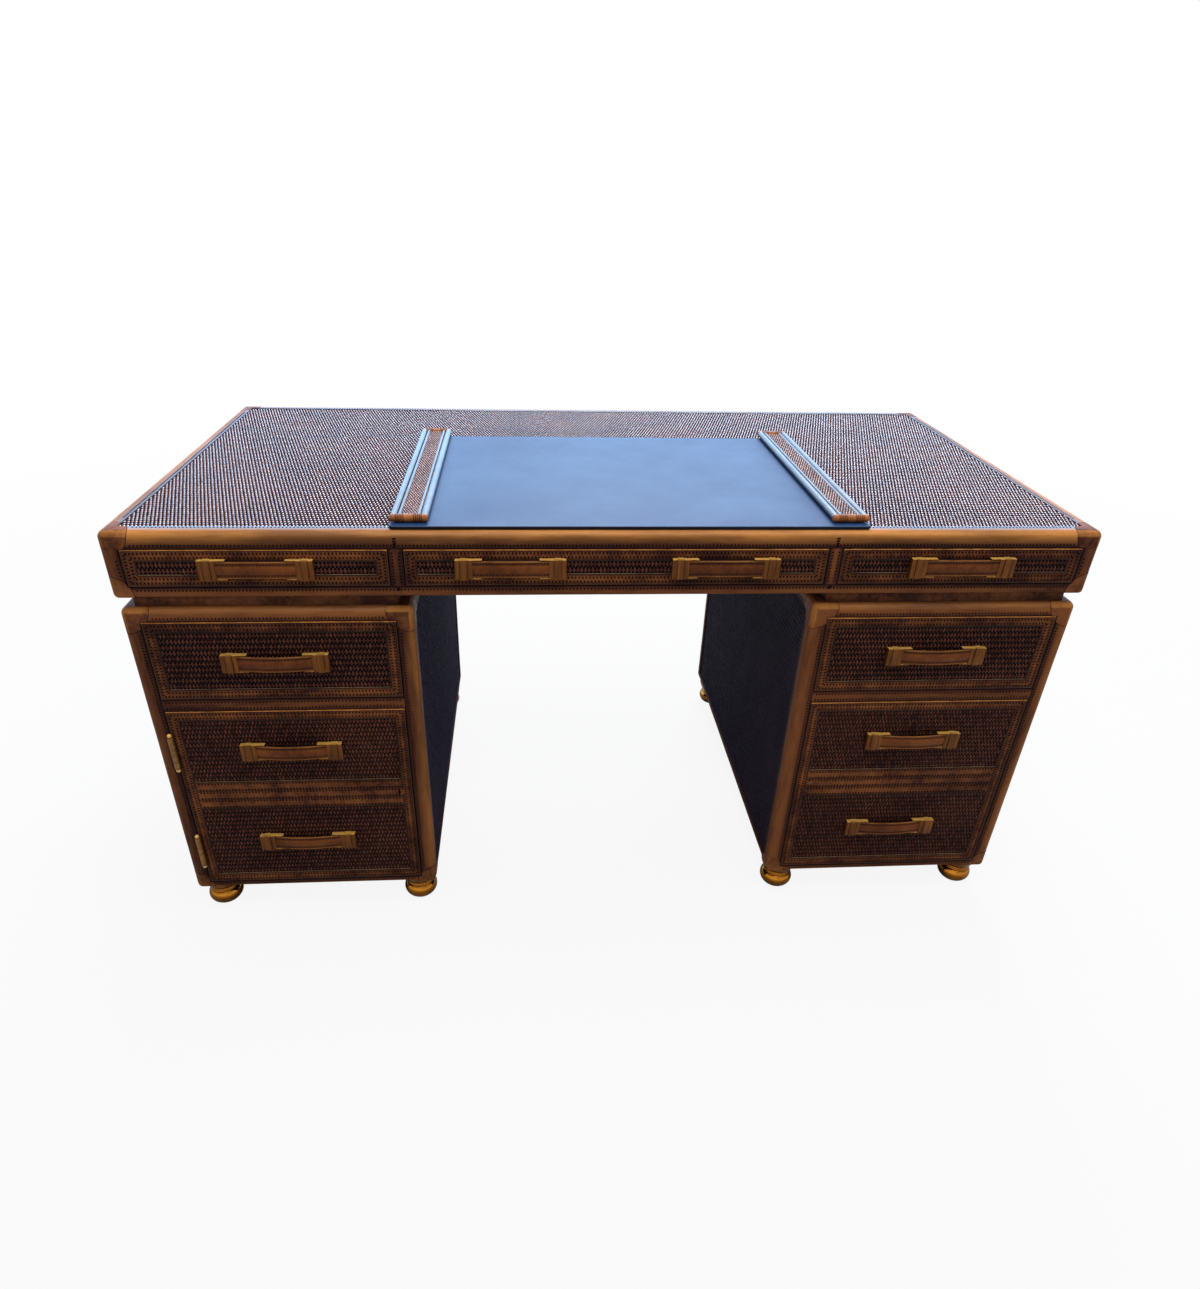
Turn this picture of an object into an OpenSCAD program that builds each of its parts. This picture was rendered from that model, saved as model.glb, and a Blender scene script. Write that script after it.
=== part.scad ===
// Trunk desk: a top unit with three shallow drawers on two pedestals, each on four bun feet.
// Millimetres, +Z up, the sitter's side faces -Y. The origin is on the floor, under the middle.

/* [Overall] */
// Width of the desk
desk_w = 1524; // [1440:2:1800]
// Depth of the desk top, without the handles
desk_d = 750; // [720:1:850]
// Height of the desk top above the floor
desk_h = 767; // [732:1:812]

/* [Top unit] */
// Height of the top unit
top_unit_h = 105; // [100:0.5:125]
// Width of the leather mouldings, seen from above
moulding_w = 24.5; // [22:0.5:26.5]
// Height of the leather mouldings, seen from the front
moulding_h = 27; // [26:0.5:32]
// Rounding of the mouldings' upper outer edge
moulding_r = 10; // [6:0.5:14]
// Height of the rail under the shallow drawers
low_rail_h = 16.5; // [14:0.5:22]
// Width of each divider between the shallow drawers
divider_w = 21; // [16:0.5:30]
// Width of the opening for each outer drawer
side_drawer_w = 388; // [340:1:420]
// How far the woven field lies below the mouldings
field_recess = 2; // [1:0.5:4]
// Thickness of the top board under the woven field
top_board_t = 18; // [15:0.5:19]
// Thickness of the dust board under the shallow drawers
dust_board_t = 12; // [8:0.5:14]

/* [Panels and posts] */
// Width and depth of every corner post
post_w = 27; // [26.5:0.5:32]
// Rounding of the outer upright edges
post_r = 9; // [5:0.5:12]
// Thickness of the woven side panels
side_panel_t = 18; // [15:0.5:20]
// Thickness of the woven back panels
back_panel_t = 12; // [9:0.5:16]
// How far the woven panels lie behind the frame's outside
panel_recess = 3; // [2:0.5:4]
// Thickness of the woven rattan
weave_t = 2; // [1.5:0.5:3]
// Seam between neighbouring pieces of one frame or box
seam = 0.1; // [0.05:0.05:0.2]

/* [Pedestals] */
// Width of each pedestal
pedestal_w = 444; // [430:1:470]
// How far the pedestals stand back from the top unit, front and back
pedestal_setback = 6; // [2:0.5:15]
// Height of the recessed plinth under the top unit
plinth_h = 22; // [16:0.5:30]
// How far the plinths lie inside the pedestals' sides
plinth_side_inset = 22; // [12:0.5:40]
// How far the plinths lie behind the pedestals' fronts
plinth_front_inset = 10; // [5:0.5:25]
// Height of the rail over the upper drawer
upper_rail_h = 23; // [18:0.5:28]
// Height of the opening for the upper drawer
upper_drawer_h = 143; // [120:1:160]
// Height of the rail under the upper drawer
mid_rail_h = 22; // [18:0.5:28]
// Height of the bottom rail in front
bottom_rail_h = 11; // [9:0.5:20]
// Height of the edge rails round the sides and the back
edge_rail_h = 22; // [21:0.5:32]
// Thickness of the pedestals' top board
pedestal_board_t = 12; // [9:0.5:18]
// Height of the shelf's underside above the floor
shelf_z = 244; // [202:1:302]
// Thickness of the shelf
shelf_t = 18; // [12:0.5:20]
// How far the shelf stands back behind the front posts
shelf_setback = 40; // [20:1:80]
// Diameter of the shelf pins
shelf_pin_d = 7; // [5:0.5:9]
// Length of the shelf pins
shelf_pin_len = 22; // [18:0.5:26]
// Depth of the shelf pins' holes in the side panels
shelf_pin_hole = 10; // [6:0.5:12]
// Distance from the shelf's ends to its pins
shelf_pin_inset = 60; // [30:1:120]

/* [Bun feet] */
// Height of the feet
foot_h = 60; // [54:0.5:72]
// Diameter of the collar under the pedestal
foot_collar_d = 66; // [62:0.5:70]
// Diameter of the foot's ball
foot_ball_d = 62; // [58:0.5:66]
// Height of the foot's ball, were it not cut off above and below
foot_ball_h = 44; // [38:0.5:48]
// Diameter of the flat under the ball
foot_base_d = 36; // [28:0.5:42]
// Distance from the pedestals' sides to the feet's middle
foot_inset = 36; // [35.5:0.5:60]

/* [Drawers] */
// Gap round each drawer front and the door
reveal = 1.5; // [1:0.25:3]
// Thickness of the drawer fronts and the door
front_t = 20; // [18:0.5:24]
// Width of the leather border round each woven inlay
border_w = 17; // [13:0.5:20]
// Thickness of the drawers' wooden sides and backs
box_t = 12; // [9:0.5:15]
// Thickness of the drawers' bottoms
box_bottom_t = 6; // [4:0.5:9]
// Height of the drawers' bottoms above the sides' lower edges
box_bottom_lift = 4; // [2:0.5:8]
// Space beside each drawer's sides
box_side_gap = 1.5; // [1:0.25:3]
// Space over each drawer's sides
box_head_gap = 8; // [5:0.5:14]
// Gap between a drawer and the board that it slides on
slide_gap = 0.3; // [0.2:0.05:0.6]
// Length of the shallow drawers' boxes
shallow_box_len = 600; // [450:1:640]
// Length of the pedestal drawers' boxes
pedestal_box_len = 610; // [450:1:630]
// Height of the deep drawer's sides
deep_box_h = 300; // [240:1:320]
// Height of the wooden drawer guides
guide_h = 40; // [20:0.5:44]

/* [Door and deep drawer] */
// Height of the upper woven inlay on the door and the deep drawer
upper_inlay_h = 130; // [110:0.5:140]
// Height of the leather band between their two inlays
band_h = 57; // [45:0.5:70]
// How far their handles sit above the middle of the inlays
handle_lift = 3; // [0:0.5:12]
// Distance from the keyhole to the door's free edge
keyhole_inset = 20; // [16:0.5:30]
// Diameter of the lock's barrel
lock_d = 11; // [9:0.5:15]
// Width of the lock's case behind the door
lock_case_w = 34; // [28:0.5:38]
// Height of the lock's case
lock_case_h = 44; // [36:0.5:60]
// Thickness of the lock's case
lock_case_t = 10; // [8:0.5:14]

/* [Hinges] */
// Length of the hinge barrels
hinge_len = 64; // [50:0.5:80]
// Diameter of the hinge barrels
barrel_d = 9; // [8:0.5:10]
// Diameter of the hinge pins
pin_d = 4; // [3:0.25:5]
// Clearance round the pins, on the radius
pin_gap = 0.05; // [0.02:0.01:0.08]
// Diameter of the pins' ball tips
tip_d = 7.5; // [6:0.5:9]
// Thickness of the hinge leaves
leaf_t = 2; // [1.5:0.25:2.5]
// Depth of the hinge leaves behind the front
leaf_d = 17; // [12:0.5:18]
// Distance from the door's ends to the middle of each hinge
hinge_inset = 79; // [60:1:110]
// Gap between the barrels and the front
barrel_gap = 0.4; // [0.3:0.05:0.8]

/* [Handles] */
// Length of a handle over its brackets
handle_len = 168; // [150:1:200]
// How far the brackets stand out
handle_out = 10; // [9:0.5:14]
// Width of a bracket's stepped front
bracket_w = 26; // [20:0.5:30]
// Height of a bracket
bracket_h = 33; // [32:0.5:38]
// Thickness of the brackets' walls
bracket_t = 2.5; // [1.75:0.25:2.5]
// How far a bracket's upper and lower lips reach past its front
lip_len = 15; // [8:0.5:20]
// Depth of the lips
lip_d = 9; // [6:0.5:9]
// Height of the leather strap
strap_h = 27; // [22:0.5:27.5]
// Thickness of the leather strap
strap_t = 3; // [2.5:0.25:4]
// How far the strap lies behind the brackets' front
strap_set = 2; // [1.5:0.25:2.5]
// Length of the strap's ends inside the brackets
strap_tuck = 20; // [12:0.5:21]
// Clearance round the strap's ends
strap_gap = 0.2; // [0.1:0.05:0.5]
// Distance from the middle to each handle of the wide drawer
wide_handle_x = 165; // [120:1:200]

/* [Desk pad] */
// Width of the leather pad
pad_w = 734; // [600:1:800]
// Depth of the leather pad
pad_d = 488; // [400:1:520]
// Thickness of the leather pad
pad_t = 5; // [3:0.5:8]
// Rounding of the pad's corners
pad_r = 8; // [3:0.5:15]
// How far the pad lies to the right of the middle
pad_shift = 22; // [0:1:60]
// Distance from the desk's front to the pad
pad_front = 9; // [9:0.5:30]
// Gap between the pad and the desk top
pad_gap = 0.3; // [0.2:0.05:0.5]
// Width of each end rail
rail_w = 58; // [50:0.5:80]
// Height of each end rail
rail_h = 13; // [10:0.5:20]
// Length of each end rail
rail_len = 490; // [400:1:520]
// How far the rails start behind the pad's front
rail_front = 12; // [0:0.5:20]
// Width of the leather poles round each rail's inlay
pole_w = 15; // [12:0.5:20]
// How far a rail's inlay lies below its top
inlay_drop = 4; // [2:0.5:6]

/* [Hidden] */
$fn = 48;

leather = [0.43, 0.25, 0.11];
dark_leather = [0.16, 0.20, 0.27];
rattan = [0.20, 0.12, 0.10];
wood = [0.42, 0.28, 0.16];
brass = [0.72, 0.53, 0.22];

// Outside of the desk; the box over the handles is centred on the origin
side_x = desk_w / 2;
front_y = handle_out - (desk_d + handle_out) / 2;
back_y = front_y + desk_d;
ped_front_y = front_y + pedestal_setback;
ped_back_y = back_y - pedestal_setback;
ped_in_x = side_x - pedestal_w;

// Levels, from the top down
top_z = desk_h;
top_low_z = top_z - top_unit_h;
shallow_top_z = top_z - moulding_h;
shallow_low_z = top_low_z + low_rail_h;
field_z = top_z - field_recess;
board_top_z = field_z - weave_t;
board_low_z = board_top_z - top_board_t;
ped_top_z = top_low_z - plinth_h;
ped_low_z = foot_h;
upper_top_z = ped_top_z - upper_rail_h;
upper_low_z = upper_top_z - upper_drawer_h;
lower_top_z = upper_low_z - mid_rail_h;
lower_low_z = ped_low_z + bottom_rail_h;

// Drawer openings, as distances from the middle
out_open_x1 = side_x - post_w;
out_open_x0 = out_open_x1 - side_drawer_w;
wide_open_x = out_open_x0 - divider_w;
ped_open_x0 = ped_in_x + post_w;
ped_open_x1 = side_x - post_w;

// A woven panel's back lies this far inside the frame's outside
panel_in = panel_recess + side_panel_t;
back_in = panel_recess + back_panel_t;

// Door hinge: the axis stands in the middle of the reveal, just in front of the posts
hinge_x = reveal / 2 - ped_open_x1;
hinge_y = ped_front_y - barrel_d / 2 - barrel_gap;
leaf_gap = 0.25;
hinge_low_z = lower_low_z + reveal + hinge_inset;
hinge_high_z = lower_top_z - reveal - hinge_inset;
knuckles = 5;

// Handle: the strap's outer face, measured out from the front
strap_out = handle_out - strap_set;

module block(x0, x1, y0, y1, z0, z1) {
    translate([x0, y0, z0])
        cube([x1 - x0, y1 - y0, z1 - z0]);
}

module both_sides() {
    children();
    mirror([1, 0, 0])
        children();
}

// A rectangle from the origin with its corner there rounded
module one_round_corner(w, d, r) {
    translate([r, r])
        circle(r);
    translate([r, 0])
        square([w - r, d]);
    translate([0, r])
        square([w, d - r]);
}

// A rectangle from the origin with four round corners
module four_round_corners(w, d, r) {
    translate([r, 0])
        square([w - 2 * r, d]);
    translate([0, r])
        square([w, d - 2 * r]);
    for (x = [r, w - r])
        for (y = [r, d - r])
            translate([x, y])
                circle(r);
}

// Upright post whose rounded edge points outwards, at the corner (x, y) of a frame
module post(x, y, way_x, way_y, z0, z1) {
    translate([x, y, z0])
        mirror([way_x > 0 ? 1 : 0, 0, 0])
            mirror([0, way_y > 0 ? 1 : 0, 0])
                linear_extrude(z1 - z0)
                    one_round_corner(post_w, post_w, post_r);
}

// Moulding along X from x0 to x1, rounded above on the side that faces away from the desk
module moulding_along_x(x0, x1, y, way_y) {
    translate([x0, y, top_z])
        mirror([0, way_y > 0 ? 1 : 0, 0])
            rotate([0, 90, 0])
                linear_extrude(x1 - x0)
                    one_round_corner(moulding_h, moulding_w, moulding_r);
}

module moulding_along_y(x, y0, y1, way_x) {
    translate([x, y0, top_z])
        mirror([way_x > 0 ? 1 : 0, 0, 0])
            rotate([-90, 0, 0])
                linear_extrude(y1 - y0)
                    one_round_corner(moulding_w, moulding_h, moulding_r);
}

// Top unit

module top_board() {
    color(wood)
        block(moulding_w - side_x, side_x - moulding_w, front_y + moulding_w, back_y - moulding_w,
              board_low_z, board_top_z);
}

module woven_top() {
    color(rattan)
        block(moulding_w - side_x, side_x - moulding_w, front_y + moulding_w, back_y - moulding_w,
              board_top_z, field_z);
}

module top_mouldings() {
    color(leather)
        intersection() {
            union() {
                moulding_along_x(-side_x, side_x, front_y, -1);
                moulding_along_x(-side_x, side_x, back_y, 1);
                moulding_along_y(-side_x, front_y + moulding_w + seam, back_y - moulding_w - seam, -1);
                moulding_along_y(side_x, front_y + moulding_w + seam, back_y - moulding_w - seam, 1);
            }
            translate([-side_x, front_y, shallow_top_z])
                linear_extrude(moulding_h)
                    four_round_corners(desk_w, desk_d, post_r);
        }
}

module top_frame() {
    color(leather) {
        both_sides() {
            post(side_x, front_y, 1, -1, top_low_z, shallow_top_z);
            post(side_x, back_y, 1, 1, top_low_z, shallow_top_z);
            block(side_x - post_w, side_x, front_y + post_w + seam, back_y - post_w - seam, top_low_z, shallow_low_z);
        }
        for (y = [front_y, back_y - post_w])
            block(post_w + seam - side_x, side_x - post_w - seam, y, y + post_w, top_low_z, shallow_low_z);
    }
}

module top_side_panels() {
    color(rattan)
        both_sides()
            block(side_x - panel_in, side_x - panel_recess, front_y + post_w, back_y - post_w,
                  shallow_low_z, shallow_top_z);
}

module top_back_panel() {
    color(rattan)
        block(post_w - side_x, side_x - post_w, back_y - back_in, back_y - panel_recess,
              shallow_low_z, shallow_top_z);
}

module drawer_dividers() {
    color(leather)
        both_sides() {
            block(wide_open_x, out_open_x0, front_y, front_y + post_w, shallow_low_z, shallow_top_z);
            block(wide_open_x, out_open_x0, front_y + post_w, back_y - post_w, shallow_low_z, board_low_z);
        }
}

module dust_board() {
    color(wood)
        block(post_w - side_x, side_x - post_w, front_y + post_w, back_y - post_w,
              shallow_low_z - dust_board_t, shallow_low_z);
}

// Strips on the panels, flush with the openings, that keep the drawers straight
module drawer_guides() {
    color(wood) {
        both_sides() {
            block(out_open_x1, side_x - panel_in, front_y + post_w, front_y + post_w + shallow_box_len - box_t,
                  shallow_low_z, shallow_low_z + guide_h);
            block(ped_open_x1, side_x - panel_in, ped_front_y + post_w,
                  ped_front_y + post_w + pedestal_box_len - box_t, upper_low_z, upper_low_z + guide_h);
            block(ped_in_x + panel_in, ped_open_x0, ped_front_y + post_w,
                  ped_front_y + post_w + pedestal_box_len - box_t, upper_low_z, upper_low_z + guide_h);
        }
        block(ped_open_x1, side_x - panel_in, ped_front_y + post_w,
              ped_front_y + post_w + pedestal_box_len - box_t, ped_low_z + edge_rail_h,
              ped_low_z + edge_rail_h + guide_h);
        block(ped_in_x + panel_in, ped_open_x0, ped_front_y + post_w,
              ped_front_y + post_w + pedestal_box_len - box_t, ped_low_z + edge_rail_h,
              ped_low_z + edge_rail_h + guide_h);
    }
}

// Pedestals

module plinths() {
    color(leather)
        both_sides()
            block(ped_in_x + plinth_side_inset, side_x - plinth_side_inset,
                  ped_front_y + plinth_front_inset, ped_back_y - plinth_front_inset, ped_top_z, top_low_z);
}

// Place of one hinge leaf: from the axis back into the wood, on the frame's or the door's side
module leaf_plate(z, way) {
    x = hinge_x + way * leaf_gap;
    block(min(x, x + way * leaf_t), max(x, x + way * leaf_t), hinge_y, ped_front_y + leaf_d,
          z - hinge_len / 2, z + hinge_len / 2);
}

module pedestal_posts() {
    color(leather)
        difference() {
            both_sides() {
                post(side_x, ped_front_y, 1, -1, ped_low_z, ped_top_z);
                post(side_x, ped_back_y, 1, 1, ped_low_z, ped_top_z);
                post(ped_in_x, ped_front_y, -1, -1, ped_low_z, ped_top_z);
                post(ped_in_x, ped_back_y, -1, 1, ped_low_z, ped_top_z);
            }
            leaf_plate(hinge_low_z, -1);
            leaf_plate(hinge_high_z, -1);
        }
}

module front_rail(z0, z1) {
    block(ped_open_x0, ped_open_x1, ped_front_y, ped_front_y + post_w, z0, z1);
}

module pedestal_front_rails() {
    color(leather)
        both_sides() {
            front_rail(upper_top_z, ped_top_z);
            front_rail(lower_top_z, upper_low_z);
            front_rail(ped_low_z, lower_low_z);
        }
}

module pedestal_edge_rails() {
    color(leather)
        both_sides()
            for (z = [ped_low_z, ped_top_z - edge_rail_h]) {
                for (x = [ped_in_x, side_x - post_w])
                    block(x, x + post_w, ped_front_y + post_w, ped_back_y - post_w, z, z + edge_rail_h);
                block(ped_open_x0, ped_open_x1, ped_back_y - post_w, ped_back_y, z, z + edge_rail_h);
            }
}

module shelf_pin_at(x0, x1, y) {
    translate([x0, y, shelf_z - shelf_pin_d / 2])
        rotate([0, 90, 0])
            cylinder(d = shelf_pin_d, h = x1 - x0);
}

shelf_y0 = ped_front_y + post_w + shelf_setback;
shelf_y1 = ped_back_y - post_w - 2;

module pedestal_side_panels() {
    color(rattan)
        difference() {
            both_sides()
                for (x = [ped_in_x + panel_recess, side_x - panel_in])
                    block(x, x + side_panel_t, ped_front_y + post_w, ped_back_y - post_w,
                          ped_low_z + edge_rail_h, ped_top_z - edge_rail_h);
            for (y = [shelf_y0 + shelf_pin_inset, shelf_y1 - shelf_pin_inset]) {
                shelf_pin_at(-side_x + panel_in - shelf_pin_hole, -side_x + panel_in + 1, y);
                shelf_pin_at(-ped_in_x - panel_in - 1, -ped_in_x - panel_in + shelf_pin_hole, y);
            }
        }
}

module pedestal_back_panels() {
    color(rattan)
        both_sides()
            block(ped_open_x0, ped_open_x1, ped_back_y - back_in, ped_back_y - panel_recess,
                  ped_low_z + edge_rail_h, ped_top_z - edge_rail_h);
}

module pedestal_boards() {
    color(wood)
        both_sides() {
            block(ped_open_x0, ped_open_x1, ped_front_y + post_w, ped_back_y - post_w,
                  ped_top_z - pedestal_board_t, ped_top_z);
            block(ped_in_x + panel_in, side_x - panel_in, ped_front_y + post_w, ped_back_y - post_w,
                  lower_top_z, upper_low_z);
            block(ped_open_x0, ped_open_x1, ped_front_y + post_w, ped_back_y - post_w,
                  ped_low_z, lower_low_z);
        }
}

module cabinet_shelf() {
    color(wood)
        block(-side_x + panel_in + 1, -ped_in_x - panel_in - 1, shelf_y0, shelf_y1,
              shelf_z, shelf_z + shelf_t);
}

module shelf_pins() {
    color(brass)
        for (y = [shelf_y0 + shelf_pin_inset, shelf_y1 - shelf_pin_inset]) {
            shelf_pin_at(-side_x + panel_in - shelf_pin_hole,
                         -side_x + panel_in - shelf_pin_hole + shelf_pin_len, y);
            shelf_pin_at(-ped_in_x - panel_in + shelf_pin_hole - shelf_pin_len,
                         -ped_in_x - panel_in + shelf_pin_hole, y);
        }
}

// Half outline of a bun foot: flat base, ball, two beads, and a collar that widens upwards
ball_r = foot_ball_d / 2;
ball_half_h = foot_ball_h / 2;
collar_r = foot_collar_d / 2;
base_angle = -acos(foot_base_d / foot_ball_d);
base_z = ball_half_h * sin(base_angle);
shoulder_angle = 38;
shoulder_z = ball_half_h * sin(shoulder_angle) - base_z;
bead_h = 4.8;
collar_z = shoulder_z + 2 * bead_h;
collar_h = foot_h - collar_z;

function ball_point(a) = [ball_r * cos(a), ball_half_h * sin(a) - base_z];

function bead_point(r, z, a) = [r + bead_h / 2 * cos(a), z + bead_h / 2 * sin(a)];

foot_outline = concat(
    [[0, 0], [foot_base_d / 2, 0]],
    [for (a = [base_angle + 8 : 8 : shoulder_angle]) ball_point(a)],
    [for (a = [-60 : 30 : 60]) bead_point(ball_r * 0.76, shoulder_z + bead_h * 0.5, a)],
    [for (a = [-60 : 30 : 60]) bead_point(ball_r * 0.8, shoulder_z + bead_h * 1.5, a)],
    [[collar_r - 6.5, collar_z], [collar_r - 3, collar_z + collar_h * 0.35],
     [collar_r - 0.8, collar_z + collar_h * 0.7], [collar_r, foot_h - 1.5], [collar_r, foot_h], [0, foot_h]]
);

module bun_feet() {
    color(brass)
        both_sides()
            for (x = [ped_in_x + foot_inset, side_x - foot_inset])
                for (y = [ped_front_y + foot_inset, ped_back_y - foot_inset])
                    translate([x, y, 0])
                        rotate_extrude()
                            polygon(foot_outline);
}

// Hinges

knuckle_h = hinge_len / knuckles;
knuckle_gap = 0.2;

// The plate and the knuckles of one leaf, bored for the pin; other is 0 for the frame and 1 for the door
module hinge_leaf(z, way, other) {
    difference() {
        union() {
            leaf_plate(z, way);
            translate([hinge_x, hinge_y, z - hinge_len / 2])
                cylinder(d = barrel_d, h = hinge_len);
        }
        translate([hinge_x, hinge_y, z - hinge_len / 2 - 1])
            cylinder(d = pin_d + 2 * pin_gap, h = hinge_len + 2);
        for (k = [0 : knuckles - 1])
            if (k % 2 != other)
                translate([hinge_x, hinge_y, z - hinge_len / 2 + k * knuckle_h - knuckle_gap / 2])
                    cylinder(d = barrel_d + 2 * leaf_gap, h = knuckle_h + knuckle_gap);
    }
}

module hinge_frame_leaves() {
    color(brass)
        for (z = [hinge_low_z, hinge_high_z])
            hinge_leaf(z, -1, 0);
}

module hinge_door_leaves() {
    color(brass)
        for (z = [hinge_low_z, hinge_high_z])
            hinge_leaf(z, 1, 1);
}

module hinge_pins() {
    color(brass)
        for (z = [hinge_low_z, hinge_high_z])
            translate([hinge_x, hinge_y, z]) {
                cylinder(d = pin_d, h = hinge_len + tip_d, center = true);
                for (way = [-1, 1])
                    translate([0, 0, way * (hinge_len / 2 + tip_d / 2)])
                        sphere(d = tip_d);
            }
}

// Fronts, drawers and handles

// A front whose shallow pockets, each [z0, z1], hold the woven inlays
module bordered_front(x0, x1, y, z0, z1, pockets) {
    difference() {
        block(x0, x1, y, y + front_t, z0, z1);
        for (p = pockets)
            block(x0 + border_w, x1 - border_w, y - 1, y + weave_t, p[0], p[1]);
    }
}

module inlay(x0, x1, y, p) {
    block(x0 + border_w, x1 - border_w, y, y + weave_t, p[0], p[1]);
}

// Sides, back and bottom behind a front; x0 to x1 and z0 to z1 are the outside of the box
module drawer_box(x0, x1, y, z0, z1, len) {
    y0 = y + front_t;
    y1 = y0 + len;
    in_x0 = x0 + box_t + seam;
    in_x1 = x1 - box_t - seam;
    block(x0, x0 + box_t, y0, y1, z0, z1);
    block(x1 - box_t, x1, y0, y1, z0, z1);
    block(in_x0, in_x1, y1 - box_t, y1, z0, z1);
    block(in_x0, in_x1, y0, y1 - box_t - seam, z0 + box_bottom_lift, z0 + box_bottom_lift + box_bottom_t);
}

// One end bracket: a stepped front plate, an end wall and a back, with a lip above and below the strap
module bracket() {
    difference() {
        union() {
            block(-handle_len / 2, bracket_w - handle_len / 2, -handle_out, 0, -bracket_h / 2, bracket_h / 2);
            for (z = [-bracket_h / 2, bracket_h / 2 - bracket_t])
                block(bracket_w - handle_len / 2, bracket_w + lip_len - handle_len / 2,
                      -handle_out, lip_d - handle_out, z, z + bracket_t);
        }
        block(bracket_w - strap_tuck - strap_gap - handle_len / 2, bracket_w + 1 - handle_len / 2,
              -strap_out - strap_gap, strap_t - strap_out + strap_gap,
              -strap_h / 2 - strap_gap, strap_h / 2 + strap_gap);
    }
}

module brackets_at(x, y, z) {
    color(brass)
        translate([x, y, z])
            both_sides()
                bracket();
}

module strap_at(x, y, z) {
    reach = handle_len / 2 - bracket_w + strap_tuck;
    color(leather)
        translate([x, y, z])
            block(-reach, reach, -strap_out, strap_t - strap_out, -strap_h / 2, strap_h / 2);
}

// Shallow drawers of the top unit

shallow_z0 = shallow_low_z + reveal;
shallow_z1 = shallow_top_z - reveal;
shallow_mid_z = (shallow_z0 + shallow_z1) / 2;
shallow_pocket = [shallow_z0 + border_w, shallow_z1 - border_w];
out_mid_x = (out_open_x0 + out_open_x1) / 2;

module shallow_front(x0, x1) {
    color(leather)
        bordered_front(x0 + reveal, x1 - reveal, front_y, shallow_z0, shallow_z1, [shallow_pocket]);
}

module shallow_weave(x0, x1) {
    color(rattan)
        inlay(x0 + reveal, x1 - reveal, front_y, shallow_pocket);
}

module shallow_box(x0, x1) {
    color(wood)
        drawer_box(x0 + box_side_gap, x1 - box_side_gap, front_y, shallow_low_z + slide_gap,
                   shallow_top_z - box_head_gap, shallow_box_len);
}

module left_shallow_front() shallow_front(-out_open_x1, -out_open_x0);
module left_shallow_weave() shallow_weave(-out_open_x1, -out_open_x0);
module left_shallow_box() shallow_box(-out_open_x1, -out_open_x0);
module left_shallow_brackets() brackets_at(-out_mid_x, front_y, shallow_mid_z);
module left_shallow_strap() strap_at(-out_mid_x, front_y, shallow_mid_z);

module right_shallow_front() shallow_front(out_open_x0, out_open_x1);
module right_shallow_weave() shallow_weave(out_open_x0, out_open_x1);
module right_shallow_box() shallow_box(out_open_x0, out_open_x1);
module right_shallow_brackets() brackets_at(out_mid_x, front_y, shallow_mid_z);
module right_shallow_strap() strap_at(out_mid_x, front_y, shallow_mid_z);

module wide_shallow_front() shallow_front(-wide_open_x, wide_open_x);
module wide_shallow_weave() shallow_weave(-wide_open_x, wide_open_x);
module wide_shallow_box() shallow_box(-wide_open_x, wide_open_x);
module wide_shallow_brackets() both_sides() brackets_at(wide_handle_x, front_y, shallow_mid_z);
module wide_shallow_straps() both_sides() strap_at(wide_handle_x, front_y, shallow_mid_z);

// Upper drawers of the pedestals

upper_z0 = upper_low_z + reveal;
upper_z1 = upper_top_z - reveal;
upper_mid_z = (upper_z0 + upper_z1) / 2;
upper_pocket = [upper_z0 + border_w, upper_z1 - border_w];
ped_mid_x = (ped_open_x0 + ped_open_x1) / 2;

module upper_front(x0, x1) {
    color(leather)
        bordered_front(x0 + reveal, x1 - reveal, ped_front_y, upper_z0, upper_z1, [upper_pocket]);
}

module upper_weave(x0, x1) {
    color(rattan)
        inlay(x0 + reveal, x1 - reveal, ped_front_y, upper_pocket);
}

module upper_box(x0, x1) {
    color(wood)
        drawer_box(x0 + box_side_gap, x1 - box_side_gap, ped_front_y, upper_low_z + slide_gap,
                   upper_top_z - box_head_gap, pedestal_box_len);
}

module left_upper_front() upper_front(-ped_open_x1, -ped_open_x0);
module left_upper_weave() upper_weave(-ped_open_x1, -ped_open_x0);
module left_upper_box() upper_box(-ped_open_x1, -ped_open_x0);
module left_upper_brackets() brackets_at(-ped_mid_x, ped_front_y, upper_mid_z);
module left_upper_strap() strap_at(-ped_mid_x, ped_front_y, upper_mid_z);

module right_upper_front() upper_front(ped_open_x0, ped_open_x1);
module right_upper_weave() upper_weave(ped_open_x0, ped_open_x1);
module right_upper_box() upper_box(ped_open_x0, ped_open_x1);
module right_upper_brackets() brackets_at(ped_mid_x, ped_front_y, upper_mid_z);
module right_upper_strap() strap_at(ped_mid_x, ped_front_y, upper_mid_z);

// Door and deep drawer: one tall front each, dressed as two

lower_z0 = lower_low_z + reveal;
lower_z1 = lower_top_z - reveal;
high_pocket = [lower_z1 - border_w - upper_inlay_h, lower_z1 - border_w];
low_pocket = [lower_z0 + border_w, high_pocket[0] - band_h];
tall_pockets = [low_pocket, high_pocket];
tall_handles_z = [for (p = tall_pockets) (p[0] + p[1]) / 2 + handle_lift];
keyhole_x = -ped_open_x0 - reveal - keyhole_inset;
keyhole_z = high_pocket[0] - band_h / 2;

module door_panel() {
    color(leather)
        difference() {
            bordered_front(reveal - ped_open_x1, -ped_open_x0 - reveal, ped_front_y, lower_z0, lower_z1,
                           tall_pockets);
            leaf_plate(hinge_low_z, 1);
            leaf_plate(hinge_high_z, 1);
            translate([keyhole_x, ped_front_y - 1, keyhole_z])
                rotate([-90, 0, 0])
                    cylinder(d = lock_d, h = front_t + 2);
        }
}

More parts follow.
